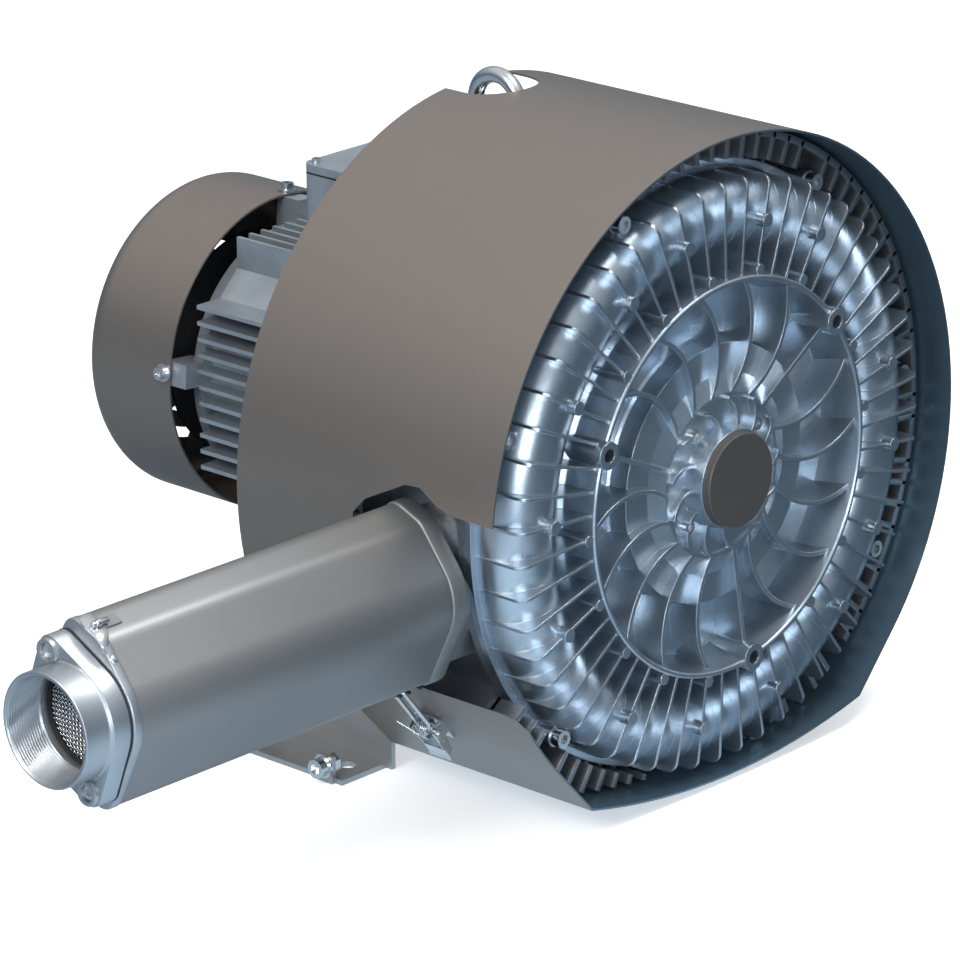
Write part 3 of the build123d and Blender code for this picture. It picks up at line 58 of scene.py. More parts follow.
Triple = tuple[float, float, float]

# Sizes of the pieces are in millimetres about the shaft. These two, in metres, place them in the row frame.
RING_FRONT_Y = -0.266
SHAFT_Z = 0.232

# Axes of the ports, in millimetres.
INLET_AXIS_Y = 80.0
OUTLET_AXIS_Y = 168.0
PORT_AXIS_Z = -38.0

# Places closer than this, in metres, are one vertex.
WELD = 1e-7

BLACK = (0.0, 0.0, 0.0)
WHITE = (1.0, 1.0, 1.0)


class Relief(Enum):
    """Kinds of surface relief, each with its Noise scale, in waves per metre, and its stretch."""

    CAST = (620.0, (1.0, 1.0, 1.0))
    SHEET = (1500.0, (1.0, 1.0, 1.0))
    BRUSHED = (900.0, (0.12, 1.0, 1.0))
    FOAM = (420.0, (1.0, 1.0, 1.0))


@dataclass(frozen=True)
class Finish:
    """One surface finish.

    Args:
        name: Name of the material, and of the record's slot.
        colour: Linear base colour.
        dark: Linear colour of the darker patches.
        metallic: How metallic it is, 0 to 1.
        rough: Middle roughness.
        spread: How much the roughness varies.
        relief: Kind of relief.
        depth: Depth of the relief in metres.
        patches: How far the darker patches come through, 0 to 1.
        speckle: How far a fine speckle darkens the colour, 0 to 1.
        coat: Weight of a clear coat.
        inside: Linear colour of the jacket's inner side, for its finish alone: partly the bare sheet, partly
            painted shade inside the jacket.
        edge: Radius in metres to which sharp edges look eased.
    """

    name: str
    colour: Triple
    dark: Triple
    metallic: float
    rough: float
    spread: float
    relief: Relief
    depth: float
    patches: float
    speckle: float
    coat: float = 0.0
    inside: Triple | None = None
    edge: float = 0.0


FINISHES = (
    Finish(
        "cast_aluminium", colour=(0.470, 0.535, 0.600), dark=(0.330, 0.380, 0.430), metallic=0.94, rough=0.29,
        spread=0.06, relief=Relief.CAST, depth=0.00006, patches=0.5, speckle=0.25, coat=0.25, edge=0.0012,
    ),
    # dark_casting is the cover's cast aluminium made darker: painted shade of the housing and fins in the
    # jacket's shadow.
    Finish(
        "dark_casting", colour=(0.330, 0.345, 0.360), dark=(0.220, 0.235, 0.250), metallic=0.88, rough=0.36,
        spread=0.06, relief=Relief.CAST, depth=0.00008, patches=0.5, speckle=0.25,
    ),
    Finish(
        "port_casting", colour=(0.420, 0.445, 0.470), dark=(0.320, 0.340, 0.365), metallic=0.92, rough=0.40,
        spread=0.05, relief=Relief.CAST, depth=0.00003, patches=0.3, speckle=0.20,
    ),
    Finish(
        "jacket_paint", colour=(0.262, 0.226, 0.200), dark=(0.240, 0.210, 0.190), metallic=0.80, rough=0.40,
        spread=0.02, relief=Relief.SHEET, depth=0.000012, patches=0.15, speckle=0.16, coat=0.10,
        # Inner side: partly the bare sheet, partly painted shade inside the jacket.
        inside=(0.130, 0.205, 0.260),
    ),
    Finish(
        "motor_paint", colour=(0.400, 0.440, 0.475), dark=(0.260, 0.290, 0.315), metallic=0.72, rough=0.40,
        spread=0.05, relief=Relief.CAST, depth=0.00004, patches=0.4, speckle=0.20,
    ),
    Finish(
        "silencer_metal", colour=(0.250, 0.248, 0.246), dark=(0.225, 0.225, 0.227), metallic=0.82, rough=0.47,
        spread=0.03, relief=Relief.BRUSHED, depth=0.000010, patches=0.2, speckle=0.12, coat=0.05,
    ),
    Finish(
        "bright_steel", colour=(0.70, 0.71, 0.72), dark=(0.48, 0.49, 0.51), metallic=1.0, rough=0.22,
        spread=0.06, relief=Relief.SHEET, depth=0.00001, patches=0.4, speckle=0.15,
    ),
    Finish(
        "dark_steel", colour=(0.075, 0.075, 0.080), dark=(0.030, 0.030, 0.032), metallic=0.9, rough=0.34,
        spread=0.05, relief=Relief.SHEET, depth=0.00001, patches=0.4, speckle=0.15,
    ),
    Finish(
        "foot_steel", colour=(0.430, 0.425, 0.420), dark=(0.320, 0.320, 0.322), metallic=0.80, rough=0.36,
        spread=0.05, relief=Relief.SHEET, depth=0.00001, patches=0.3, speckle=0.15,
    ),
    Finish(
        "impeller_aluminium", colour=(0.55, 0.56, 0.58), dark=(0.35, 0.36, 0.38), metallic=1.0, rough=0.42,
        spread=0.08, relief=Relief.CAST, depth=0.00005, patches=0.5, speckle=0.2,
    ),
    Finish(
        "copper_winding", colour=(0.42, 0.13, 0.05), dark=(0.20, 0.06, 0.03), metallic=0.8, rough=0.45,
        spread=0.05, relief=Relief.CAST, depth=0.00008, patches=0.5, speckle=0.2,
    ),
    Finish(
        "black_rubber", colour=(0.012, 0.012, 0.012), dark=(0.006, 0.006, 0.006), metallic=0.0, rough=0.62,
        spread=0.05, relief=Relief.SHEET, depth=0.00002, patches=0.4, speckle=0.2,
    ),
    Finish(
        "cap_plastic", colour=(0.074, 0.066, 0.063), dark=(0.060, 0.054, 0.052), metallic=0.10, rough=0.46,
        spread=0.04, relief=Relief.SHEET, depth=0.00002, patches=0.3, speckle=0.2,
    ),
    Finish(
        "dark_plastic", colour=(0.020, 0.020, 0.022), dark=(0.012, 0.012, 0.013), metallic=0.0, rough=0.42,
        spread=0.05, relief=Relief.CAST, depth=0.00002, patches=0.4, speckle=0.2,
    ),
    Finish(
        "foam", colour=(0.022, 0.022, 0.022), dark=(0.006, 0.006, 0.006), metallic=0.0, rough=0.95,
        spread=0.02, relief=Relief.FOAM, depth=0.0006, patches=0.6, speckle=0.5,
    ),
)


class Graph:
    """Adds nodes and links to one node tree."""

    def __init__(self, tree: bpy.types.NodeTree) -> None:
        """Keeps the tree's nodes and links."""
        self.nodes, self.links = tree.nodes, tree.links

    def add(self, kind: str) -> bpy.types.Node:
        """Adds a node of a kind."""
        return self.nodes.new(kind)

    def link(self, *pairs: tuple[bpy.types.NodeSocket, bpy.types.NodeSocket]) -> None:
        """Links the output to the input of each pair."""
        for output, target in pairs:
            self.links.new(output, target)

    def math(self, operation: str) -> bpy.types.Node:
        """Adds a Math node.

        Args:
            operation: What it does with its values.

        Returns:
            The node.
        """
        node = self.add("ShaderNodeMath")
        node.operation = operation
        return node

    def joined(
        self, operation: str, one: bpy.types.NodeSocket, other: bpy.types.NodeSocket,
    ) -> bpy.types.NodeSocket:
        """Makes two masks one.

        Args:
            operation: MULTIPLY where both have to hold, MAXIMUM where either does.
            one: The first mask.
            other: The second mask.

        Returns:
            The mask that they make.
        """
        node = self.math(operation)
        self.link((one, node.inputs[0]), (other, node.inputs[1]))
        return node.outputs["Value"]

    def vector(
        self, source: bpy.types.NodeSocket, operation: str, vector: Triple, output: str = "Value",
    ) -> bpy.types.NodeSocket:
        """Does one vector operation.

        Args:
            source: The vector to start from.
            operation: What to do with it.
            vector: The second vector.
            output: Name of the result wanted.

        Returns:
            The result.
        """
        node = self.add("ShaderNodeVectorMath")
        node.operation = operation
        node.inputs[1].default_value = vector
        self.link((source, node.inputs[0]))
        return node.outputs[output]

    def span(self, zero: float, one: float) -> bpy.types.Node:
        """Adds a node that rises evenly from 0 to 1.

        Args:
            zero: Value at which it gives 0.
            one: Value at which it gives 1.

        Returns:
            The node.
        """
        node = self.add("ShaderNodeMapRange")
        node.inputs["From Min"].default_value = zero
        node.inputs["From Max"].default_value = one
        return node

    def masked(self, source: bpy.types.NodeSocket, limits: tuple[float, float]) -> bpy.types.NodeSocket:
        """Turns a value into a mask.

        Args:
            source: The value.
            limits: Where the mask is 0 and where it is 1.

        Returns:
            The mask.
        """
        node = self.span(*limits)
        self.link((source, node.inputs["Value"]))
        return node.outputs["Result"]

    def mix(self, first: Triple = BLACK, second: Triple = BLACK) -> bpy.types.Node:
        """Adds a colour mix.

        Args:
            first: Colour at factor 0, where nothing is linked.
            second: Colour at factor 1, where nothing is linked.

        Returns:
            The node.
        """
        node = self.add("ShaderNodeMix")
        node.data_type = "RGBA"
        node.inputs["A"].default_value = (*first, 1.0)
        node.inputs["B"].default_value = (*second, 1.0)
        return node


@dataclass(frozen=True)
class JacketSides:
    """Where the jacket's sheet lies, in metres, so that its inner side can have a colour of its own, bluer and
    darker: partly painted shade.

    Each pair is where a mask is 0 and where it is 1. The fan cowl has the same finish and lies nearer to the
    shaft than cowl, so it is left out. The wall's distance is measured from the origin along its normal.
    """

    cowl: tuple[float, float] = (0.140, 0.141)
    circle: tuple[float, float] = (0.2495, 0.2490)
    wall_normal: Triple = (0.7408, 0.0, -0.6717)
    wall: tuple[float, float] = (0.0937, 0.0932)
    wall_top: tuple[float, float] = (0.0651, 0.0646)

    def group(self) -> bpy.types.NodeTree:
        """Builds the mask of the jacket's inner side.

        It is 1 where the distance from the shaft is less than that of the middle of the sheet, and, below the
        height where the sheet leaves its circle, where the distance along the wall's normal is.

        Returns:
            The group, with an output for the mask.
        """
        group = bpy.data.node_groups.new("jacket_inside", "ShaderNodeTree")
        group.interface.new_socket(name="Mask", in_out="OUTPUT", socket_type="NodeSocketFloat")
        graph = Graph(group)
        coords = graph.add("ShaderNodeTexCoord").outputs["Object"]
        flat = graph.vector(coords, "MULTIPLY", (1.0, 0.0, 1.0), "Vector")
        folded = graph.vector(flat, "ABSOLUTE", BLACK, "Vector")
        away = graph.vector(flat, "DISTANCE", (0.0, 0.0, SHAFT_Z))
        along = graph.vector(folded, "DOT_PRODUCT", self.wall_normal)
        height = graph.vector(folded, "DOT_PRODUCT", (0.0, 0.0, 1.0))
        round_part = graph.joined("MULTIPLY", graph.masked(away, self.cowl), graph.masked(away, self.circle))
        within = graph.masked(along, self.wall)
        low_part = graph.joined("MULTIPLY", within, graph.masked(height, self.wall_top))
        mask = graph.joined("MAXIMUM", round_part, low_part)
        graph.link((mask, graph.add("NodeGroupOutput").inputs["Mask"]))
        return group


class FinishLibrary:
    """Makes the finishes' materials, all from one shared node group."""

    patch_scale = 34.0
    patch_detail = 4.0
    patch_limits = (0.42, 0.64)
    grain_detail = 2.5
    grain_limits = (0.40, 0.66)
    coat_rough = 0.25

    def __init__(self) -> None:
        """Builds the shared groups."""
        self.surface = self._surface_group()
        self.inside = JacketSides().group()
        self.materials: dict[str, bpy.types.Material] = {}

    def _surface_group(self) -> bpy.types.NodeTree:
        """Builds the shared group: patches and speckle in the colour, a varied roughness and a bumped normal.

        Returns:
            The group, with outputs for colour, roughness and normal.
        """
        group = bpy.data.node_groups.new("surface", "ShaderNodeTree")
        for name, kind, value in (
            ("Colour", "NodeSocketColor", (0.5, 0.5, 0.5, 1.0)),
            ("Dark", "NodeSocketColor", (0.2, 0.2, 0.2, 1.0)),
            ("Rough", "NodeSocketFloat", 0.4),
            ("Spread", "NodeSocketFloat", 0.05),
            ("Depth", "NodeSocketFloat", 0.00002),
            ("Scale", "NodeSocketFloat", 900.0),
            ("Stretch", "NodeSocketVector", (1.0, 1.0, 1.0)),
            ("Patches", "NodeSocketFloat", 0.3),
            ("Speckle", "NodeSocketFloat", 0.15),
            ("Edge", "NodeSocketFloat", 0.0),
        ):
            group.interface.new_socket(name=name, in_out="INPUT", socket_type=kind).default_value = value
        for name, kind in (
            ("Colour", "NodeSocketColor"),
            ("Roughness", "NodeSocketFloat"),
            ("Normal", "NodeSocketVector"),
        ):
            group.interface.new_socket(name=name, in_out="OUTPUT", socket_type=kind)
        graph = Graph(group)
        source, sink = graph.add("NodeGroupInput").outputs, graph.add("NodeGroupOutput").inputs
        coords = graph.add("ShaderNodeTexCoord").outputs["Object"]
        stretched = graph.add("ShaderNodeVectorMath")
        stretched.operation = "MULTIPLY"
        patches, grain = graph.add("ShaderNodeTexNoise"), graph.add("ShaderNodeTexNoise")
        patches.inputs["Scale"].default_value = self.patch_scale
        patches.inputs["Detail"].default_value = self.patch_detail
        grain.inputs["Detail"].default_value = self.grain_detail
        wide, fine = graph.span(*self.patch_limits), graph.span(*self.grain_limits)
        total, rough = graph.math("ADD"), graph.math("MULTIPLY_ADD")
        total.use_clamp = True
        mix, bump, eased = graph.mix(), graph.add("ShaderNodeBump"), graph.add("ShaderNodeBevel")
        graph.link(
            (coords, patches.inputs["Vector"]),
            (coords, stretched.inputs[0]),
            (source["Stretch"], stretched.inputs[1]),
            (stretched.outputs["Vector"], grain.inputs["Vector"]),
            (source["Scale"], grain.inputs["Scale"]),
            (patches.outputs["Fac"], wide.inputs["Value"]),
            (grain.outputs["Fac"], fine.inputs["Value"]),
            (source["Patches"], wide.inputs["To Max"]),
            (source["Speckle"], fine.inputs["To Max"]),
            (wide.outputs["Result"], total.inputs[0]),
            (fine.outputs["Result"], total.inputs[1]),
            (total.outputs["Value"], mix.inputs["Factor"]),
            (source["Colour"], mix.inputs["A"]),
            (source["Dark"], mix.inputs["B"]),
            (mix.outputs["Result"], sink["Colour"]),
            (total.outputs["Value"], rough.inputs[0]),
            (source["Spread"], rough.inputs[1]),
            (source["Rough"], rough.inputs[2]),
            (rough.outputs["Value"], sink["Roughness"]),
            (grain.outputs["Fac"], bump.inputs["Height"]),
            (source["Depth"], bump.inputs["Distance"]),
            (source["Edge"], eased.inputs["Radius"]),
            (eased.outputs["Normal"], bump.inputs["Normal"]),
            (bump.outputs["Normal"], sink["Normal"]),
        )
        return group

    def material(self, name: str) -> bpy.types.Material:
        """Makes, once, the material of a finish.

        Args:
            name: Name of the finish wanted.

        Returns:
            Its material.
        """
        if name in self.materials:
            return self.materials[name]
        finish = next(one for one in FINISHES if one.name == name)
        made = bpy.data.materials.new(name)
        made.use_nodes = True
        graph = Graph(made.node_tree)
        shader = graph.nodes["Principled BSDF"].inputs
        shader["Metallic"].default_value = finish.metallic
        shader["Coat Weight"].default_value = finish.coat
        shader["Coat Roughness"].default_value = self.coat_rough
        surface = graph.add("ShaderNodeGroup")
        surface.node_tree = self.surface
        scale, stretch = finish.relief.value
        for socket, value in (
            ("Colour", (*finish.colour, 1.0)),
            ("Dark", (*finish.dark, 1.0)),
            ("Rough", finish.rough),
            ("Spread", finish.spread),
            ("Depth", finish.depth),
            ("Scale", scale),
            ("Stretch", stretch),
            ("Patches", finish.patches),
            ("Speckle", finish.speckle),
            ("Edge", finish.edge),
        ):
            surface.inputs[socket].default_value = value
        colour = surface.outputs["Colour"]
        # The jacket's inner side gets its bluer, darker colour, which is partly painted shade inside the
        # jacket.
        if finish.inside:
            sheet, mix = graph.add("ShaderNodeGroup"), graph.mix(second=finish.inside)
            sheet.node_tree = self.inside
            graph.link((sheet.outputs["Mask"], mix.inputs["Factor"]), (colour, mix.inputs["A"]))
            colour = mix.outputs["Result"]
        graph.link(
            (colour, shader["Base Color"]),
            (surface.outputs["Roughness"], shader["Roughness"]),
            (surface.outputs["Normal"], shader["Normal"]),
        )
        self.materials[name] = made
        return made


def row_frame(points: np.ndarray) -> np.ndarray:
    """Takes points from millimetres about the shaft to metres in the row frame.

    Args:
        points: Array whose last axis is x, y, z.

    Returns:
        The same points, divided by 1000, with the ring's crest at y = -0.266 and the shaft at z = 0.232.
    """
    return points / 1000.0 + np.array((0.0, RING_FRONT_Y, SHAFT_Z))


def show(name: str, mesh: bpy.types.Mesh) -> bpy.types.Object:
    """Puts a mesh into the scene.

    Args:
        name: Name of the new object.
        mesh: Its mesh.

    Returns:
        The new object.
    """
    made = bpy.data.objects.new(name, mesh)
    bpy.context.scene.collection.objects.link(made)
    return made


def make_surface(name: str, grids: np.ndarray, smooth: float = 40.0) -> bpy.types.Object:
    """Makes one mesh from closed tubes of points.

    Each grid is a row of closed rings: its first axis runs along the tube, its second round it. The first and
    the last ring are joined to a point in their middle, unless they are one and the same place.

    Args:
        name: Name of the piece.
        grids: Points in millimetres about the shaft, as tubes x stations x ring points x 3.
        smooth: Angle in degrees under which neighbouring faces shade smoothly.

    Returns:
        The new object.
    """
    count, stations, around = grids.shape[:3]
    if not np.allclose(grids[0, 0], grids[0, -1]):
        first = np.repeat(grids[:, :1].mean(axis=2, keepdims=True), around, axis=2)
        last = np.repeat(grids[:, -1:].mean(axis=2, keepdims=True), around, axis=2)
        grids = np.concatenate((first, grids, last), axis=1)
        stations += 2
    index = np.arange(count * stations * around).reshape(count, stations, around)
    index = np.concatenate((index, index[:, :, :1]), axis=2)
    corners = (index[:, :-1, :-1], index[:, 1:, :-1], index[:, 1:, 1:], index[:, :-1, 1:])
    mesh = bpy.data.meshes.new(name)
    mesh.from_pydata(row_frame(grids).reshape(-1, 3), [], np.stack(corners, axis=-1).reshape(-1, 4))
    tidy = bmesh.new()
    tidy.from_mesh(mesh)
    bmesh.ops.remove_doubles(tidy, verts=tidy.verts, dist=WELD)
    bmesh.ops.recalc_face_normals(tidy, faces=tidy.faces)
    tidy.to_mesh(mesh)
    tidy.free()
    mesh.shade_smooth()
    mesh.set_sharp_from_angle(angle=math.radians(smooth))
    return show(name, mesh)


def rounded_box_ring(width: float, depth: float, corner: float, steps: int = 3) -> np.ndarray:
    """Ring of a rectangle with rounded corners, centred on the origin.

    A corner's points are its centre plus the corner radius times the cosine and sine of an angle that goes
    round a quarter turn per corner.

    Args:
        width: Its first side.
        depth: Its second side.
        corner: Radius of its corners.
        steps: Points per corner.

    Returns:
        The points, in order round the ring.
    """
    quarter = np.radians(np.linspace(0, 90, steps))
    angles = quarter[None, :] + np.radians(np.array((0, 90, 180, 270)))[:, None]
    sides = np.array(((1, 1), (-1, 1), (-1, -1), (1, -1)), dtype=float)
    centres = sides * np.array((width / 2 - corner, depth / 2 - corner))
    points = centres[:, None, :] + corner * np.stack((np.cos(angles), np.sin(angles)), axis=-1)
    return points.reshape(-1, 2)


@dataclass
class Dresser:
    """Gives a new piece its finish, its body and its slot, and reports it."""

    library: FinishLibrary

    def dress(self, piece: bpy.types.Object, finish: str, body: str, replaced: tuple[str, ...] = ()) -> None:
        """Finishes one piece.

        Args:
            piece: The new piece.
            finish: Name of its finish.
            body: Name of the body it rides on.
            replaced: The CAD nodes it stands for.
        """
        piece.data.materials.append(self.library.material(finish))
        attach(piece, body)
        if replaced:
            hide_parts(*replaced)
        log.info("%s: %d faces on %s", piece.name, len(piece.data.polygons), body)


@dataclass
class FinLadder:
    """The front edge of the housing's fins round the cover: radial bars, joined near their tips by a band.

    Bars are left out beside the cover's screw lugs, where the jacket is open towards the silencer, and where
    the jacket's base would leave one too short.
    """

    front: float = 30.0
    rear: float = 53.0
    inner: float = 223.2
    outer: float = 246.0
    end_inset: float = 1.0
    bar: float = 5.0
    bar_corner: float = 1.2
    bar_count: int = 90
    pitch: float = 4.0
    phase: float = 39.0
    shortest: float = 4.0
    open_from: float = 152.0
    open_to: float = 212.0
    lug_angles: tuple[float, ...] = (5.0, 58.0, 114.0, 160.0, 226.0, 284.0, 330.0)
    lug_half: float = 2.6
    crease_x: float = 148.0
    crease_z: float = -209.0
    sag: float = 18.0
    base_gap: float = 3.5
    band_inner: float = 240.0
    band_rear: float = 42.0
    band_corner: float = 1.0
    band_from: float = -47.0
    band_to: float = 76.0
    band_step: float = 2.0

    def base_reach(self, degrees: np.ndarray) -> np.ndarray:
        """Distance from the shaft to just above the jacket's bowed base: where a ray meets the base's circle.

        Args:
            degrees: The rays' angles about the shaft.

        Returns:
            The distances, without an end for rays that point up.
        """
        bow = (self.crease_x**2 + self.sag**2) / (2 * self.sag)
        centre = self.crease_z - self.sag + bow
        turn = np.radians(degrees)
        reach = centre * np.sin(turn) + np.sqrt(bow**2 - (centre * np.cos(turn)) ** 2) - self.base_gap
        return np.where(np.sin(turn) < 0, reach, np.inf)

    def bars(self) -> bpy.types.Object:
        """Bars: a rounded box's ring in (across, y), carried straight out along its radius.

        Returns:
            The piece.
        """
        folded = (self.phase + self.pitch * np.arange(self.bar_count)) % 360
        turned = folded[:, None] - np.array(self.lug_angles)[None, :]
        to_lug = np.min(np.abs((turned + 180) % 360 - 180), axis=1)
        tips = np.minimum(self.outer - self.end_inset, self.base_reach(folded))
        covered = (folded < self.open_from) | (folded > self.open_to)
        shown = covered & (to_lug > self.lug_half) & (tips > self.inner + self.shortest)
        folded, tips = folded[shown], tips[shown]
        ring = rounded_box_ring(self.bar, self.rear - self.front, self.bar_corner)
        r = np.stack((np.full(len(tips), self.inner + self.end_inset), tips), axis=1)[:, :, None]
        turn = np.radians(folded)[:, None, None]
        across, y = ring[None, None, :, 0], ring[None, None, :, 1] + (self.front + self.rear) / 2
        x = r * np.cos(turn) - across * np.sin(turn)
        z = r * np.sin(turn) + across * np.cos(turn)
        return make_surface("fin_ladder_bars", np.stack(np.broadcast_arrays(x, y, z), axis=-1))

    def band(self) -> bpy.types.Object:
        """Band: a rounded box's ring in (radius, y), carried round the shaft.

        Returns:
            The piece.
        """
        ring = rounded_box_ring(self.outer - self.band_inner, self.band_rear - self.front, self.band_corner)
        stations = int((self.band_to - self.band_from) / self.band_step) + 1
        turn = np.radians(np.linspace(self.band_from, self.band_to, stations))[:, None]
        radius = ring[None, :, 0] + (self.band_inner + self.outer) / 2
        y = ring[None, :, 1] + (self.front + self.band_rear) / 2
        grid = np.stack(np.broadcast_arrays(radius * np.cos(turn), y, radius * np.sin(turn)), axis=-1)
        return make_surface("fin_ladder_outer", grid[None])

    def dress(self, dresser: Dresser) -> None:
        """Builds and finishes the ladder."""
        # dark_casting carries painted shade: these fins are the cover's cast metal, darkened for the jacket's
        # shadow.
        dresser.dress(self.bars(), "dark_casting", "blower")
        dresser.dress(self.band(), "dark_casting", "blower")


@dataclass(frozen=True)
class Hull:
    """Rounded outline round a port's axis: the tightest skin over a middle circle and corner circles.

    Args:
        middle: Radius of the middle circle in millimetres.
        corners: Corner circles as y, z and radius; each also stands on the opposite side.
        least_cosine: Directions that face away from a ray more than this don't bound it.
    """

    middle: float
    corners: tuple[Triple, ...]
    least_cosine: float = 0.05

    def reach(self, turn: np.ndarray, grow: float = 0.0) -> np.ndarray:
        """Distance from the axis to the skin in each direction.

        The skin's support in a direction is the largest of the circles' supports, and a ray meets the skin at
        the least of the supports divided by the cosine of the angle between ray and direction.

        Args:
            turn: The rays' directions in radians.
            grow: How far the skin is moved out.

        Returns:
            The distances.
        """
        facing = np.linspace(-np.pi, np.pi, 721)
        support = np.full_like(facing, self.middle)
        for y, z, radius in self.corners:
            support = np.maximum(support, np.abs(y * np.cos(facing) + z * np.sin(facing)) + radius)
        cosine = np.cos(turn[:, None] - facing[None, :])
        meets = (support + grow) / np.maximum(cosine, self.least_cosine)
        return np.min(np.where(cosine > self.least_cosine, meets, np.inf), axis=1)


# Places of a port flange's two screws, from the port's axis: one here, the other opposite.
SCREW_Y = 17.0
SCREW_Z = 45.0

FLANGE_HULL = Hull(42.0, ((SCREW_Y, SCREW_Z, 10.5),))
BODY_HULL = Hull(43.2, ((10.7, 52.4, 11.0), (-3.7, 43.1, 14.0)))

# A port flange's mouth, barrel and fillet, as distances from its axis and from its seat.
BARREL = np.array((
    (38.0, 36.6), (38.6, 37.0), (39.5, 37.0), (40.0, 36.5),
    (40.0, 18.0), (40.2, 16.9), (40.7, 16.1), (41.4, 15.4),
))

# The outer edge of its plate, as how far it lies in from the outline and its distance from the seat.
PLATE_EDGE = np.array(((0.25, 14.75), (0.0, 14.2), (0.0, 0.3), (0.4, 0.0)))


@dataclass
class PortStack:
    """Pieces that stand on a port's axis: flange, gasket, end plate, silencer tube and collar."""

    name: str
    side: int
    axis_y: float
    around: int = 145
    gasket: float = 1.5
    gasket_bore: float = 35.1
    gasket_proud: float = 0.4
    gasket_corner: float = 0.3
    plate: float = 15.0
    plate_inset: float = 0.8
    least_face: float = 41.5
    bore: float = 36.1
    bore_end: float = 6.5
    thread_from: float = 7.0
    thread_to: float = 36.0
    thread_fade: float = 2.5
    thread_points: int = 101
    thread_pitch: float = 2.31
    thread_root: float = 37.75
    thread_crest: float = 36.15
    rim_width: float = 3.4
    rim_depth: float = 9.0
    rim_corner: float = 1.0
    rim_radius: float = 7.3
    rim_middle: float = 14.2

    def revolve(
        self, name: str, radius: np.ndarray, depth: np.ndarray, turn: np.ndarray, smooth: float,
    ) -> bpy.types.Object:
        """A closed profile carried round the port's axis: each ring is the profile at one angle.

        Args:
            name: Name of the piece.
            radius: Distances from the axis, angles x profile points.
            depth: Distances from the shaft, one per profile point.
            turn: The angles, the last the same as the first.
            smooth: Angle under which faces shade smoothly.

        Returns:
            The piece.
        """
        x = self.side * depth + np.zeros_like(radius)
        y = self.axis_y + radius * np.cos(turn)[:, None]
        z = PORT_AXIS_Z + radius * np.sin(turn)[:, None]
        return make_surface(name, np.stack((x, y, z), axis=-1)[None], smooth)

    def flange(self, start: float) -> bpy.types.Object:
        """Threaded end flange.

        Its profile runs up the bore, over the mouth, down the barrel, through a small fillet, out to
        the outline and back. In the bore the radius falls from the thread's root to its crest and back
        with each pitch along the axis, plus the share of a pitch that a turn brings, and the thread
        fades in over its first stretch.

        Args:
            start: Distance of its seat from the shaft.

        Returns:
            The piece.
        """
        turn = np.linspace(0, 2 * np.pi, self.around)
        skin = FLANGE_HULL.reach(turn)[:, None]
        along = np.linspace(self.thread_from, self.thread_to, self.thread_points)
        pitches = along[None, :] / self.thread_pitch + turn[:, None] / (2 * np.pi)
        wave = np.abs((pitches % 1.0) * 2 - 1)
        fade = np.clip((along - self.thread_from) / self.thread_fade, 0, 1)[None, :]
        thread = self.thread_root - (self.thread_root - self.thread_crest) * np.maximum(wave, 1 - fade)
        plain = np.full((self.around, 2), self.bore)
        barrel = np.broadcast_to(BARREL[None, :, 0], (self.around, len(BARREL)))
        face = np.maximum(skin - self.plate_inset, self.least_face)
        radius = np.concatenate((plain, thread, barrel, face, skin - PLATE_EDGE[None, :, 0]), axis=1)
        depth = np.concatenate(((0.0, self.bore_end), along, BARREL[:, 1], (self.plate,), PLATE_EDGE[:, 1]))
        return self.revolve(f"{self.name}_flange", radius, start + depth[None, :], turn, 32.0)

    def lug_rims(self, start: float) -> bpy.types.Object:
        """Round rims in which the flange's screws are sunk: a rounded box's ring carried round each screw.

        Args:
            start: Distance of the flange's seat from the shaft.

        Returns:
            The piece.
        """
        section = rounded_box_ring(self.rim_width, self.rim_depth, self.rim_corner)
        turn = np.linspace(0, 2 * np.pi, 37)[:, None]
        radius = section[None, :, 0] + self.rim_radius
        x = self.side * (start + self.rim_middle + section[None, :, 1] + 0 * turn)
        grids = []
        for sign in (1, -1):
            y = self.axis_y + sign * SCREW_Y + radius * np.cos(turn)
            z = PORT_AXIS_Z + sign * SCREW_Z + radius * np.sin(turn)
            grids.append(np.stack((x, y, z), axis=-1))
        return make_surface(f"{self.name}_lug_rims", np.stack(grids))

    def sleeve(
        self, name: str, hull: Hull, grow: float, inner: float, start: float, end: float, corner: float,
    ) -> bpy.types.Object:
        """A hull outline with a round bore, between two distances from the shaft, its outer edges rounded.

        Each rounded edge is three points of a quarter circle: its two ends and its middle.

        Args:
            name: Name of the piece.
            hull: Its outline.
            grow: How far it stands out from the outline.
            inner: Radius of its bore.
            start: Distance of its near face from the shaft.
            end: Distance of its far face.
            corner: Radius of its outer edges.

        Returns:
            The piece.
        """
        turn = np.linspace(0, 2 * np.pi, self.around)
        skin = hull.reach(turn, grow)[:, None]
        half = corner * (1 - math.sqrt(0.5))
        outer = skin - np.array((corner, half, 0.0, 0.0, half, corner))[None, :]
        radius = np.concatenate((outer, np.full((self.around, 2), inner)), axis=1)
        depth = np.array((start, start + half, start + corner, end - corner, end - half, end, end, start))
        return self.revolve(name, radius, depth[None, :], turn, 50.0)

    def dress_end(self, dresser: Dresser, seat: float) -> None:
        """Builds and finishes the flange with its lug rims and its gasket.

        Args:
            dresser: What finishes them.
            seat: Distance from the shaft of the face that the gasket lies on.
        """
        start = seat + self.gasket
        dresser.dress(self.flange(start), "port_casting", "blower", (f"{self.name}_flange",))
        dresser.dress(self.lug_rims(start), "port_casting", "blower")
        gasket = self.sleeve(
            f"{self.name}_end_gasket", FLANGE_HULL, self.gasket_proud, self.gasket_bore, seat, start,
            self.gasket_corner,
        )
        dresser.dress(gasket, "black_rubber", "blower", (f"{self.name}_gasket",))


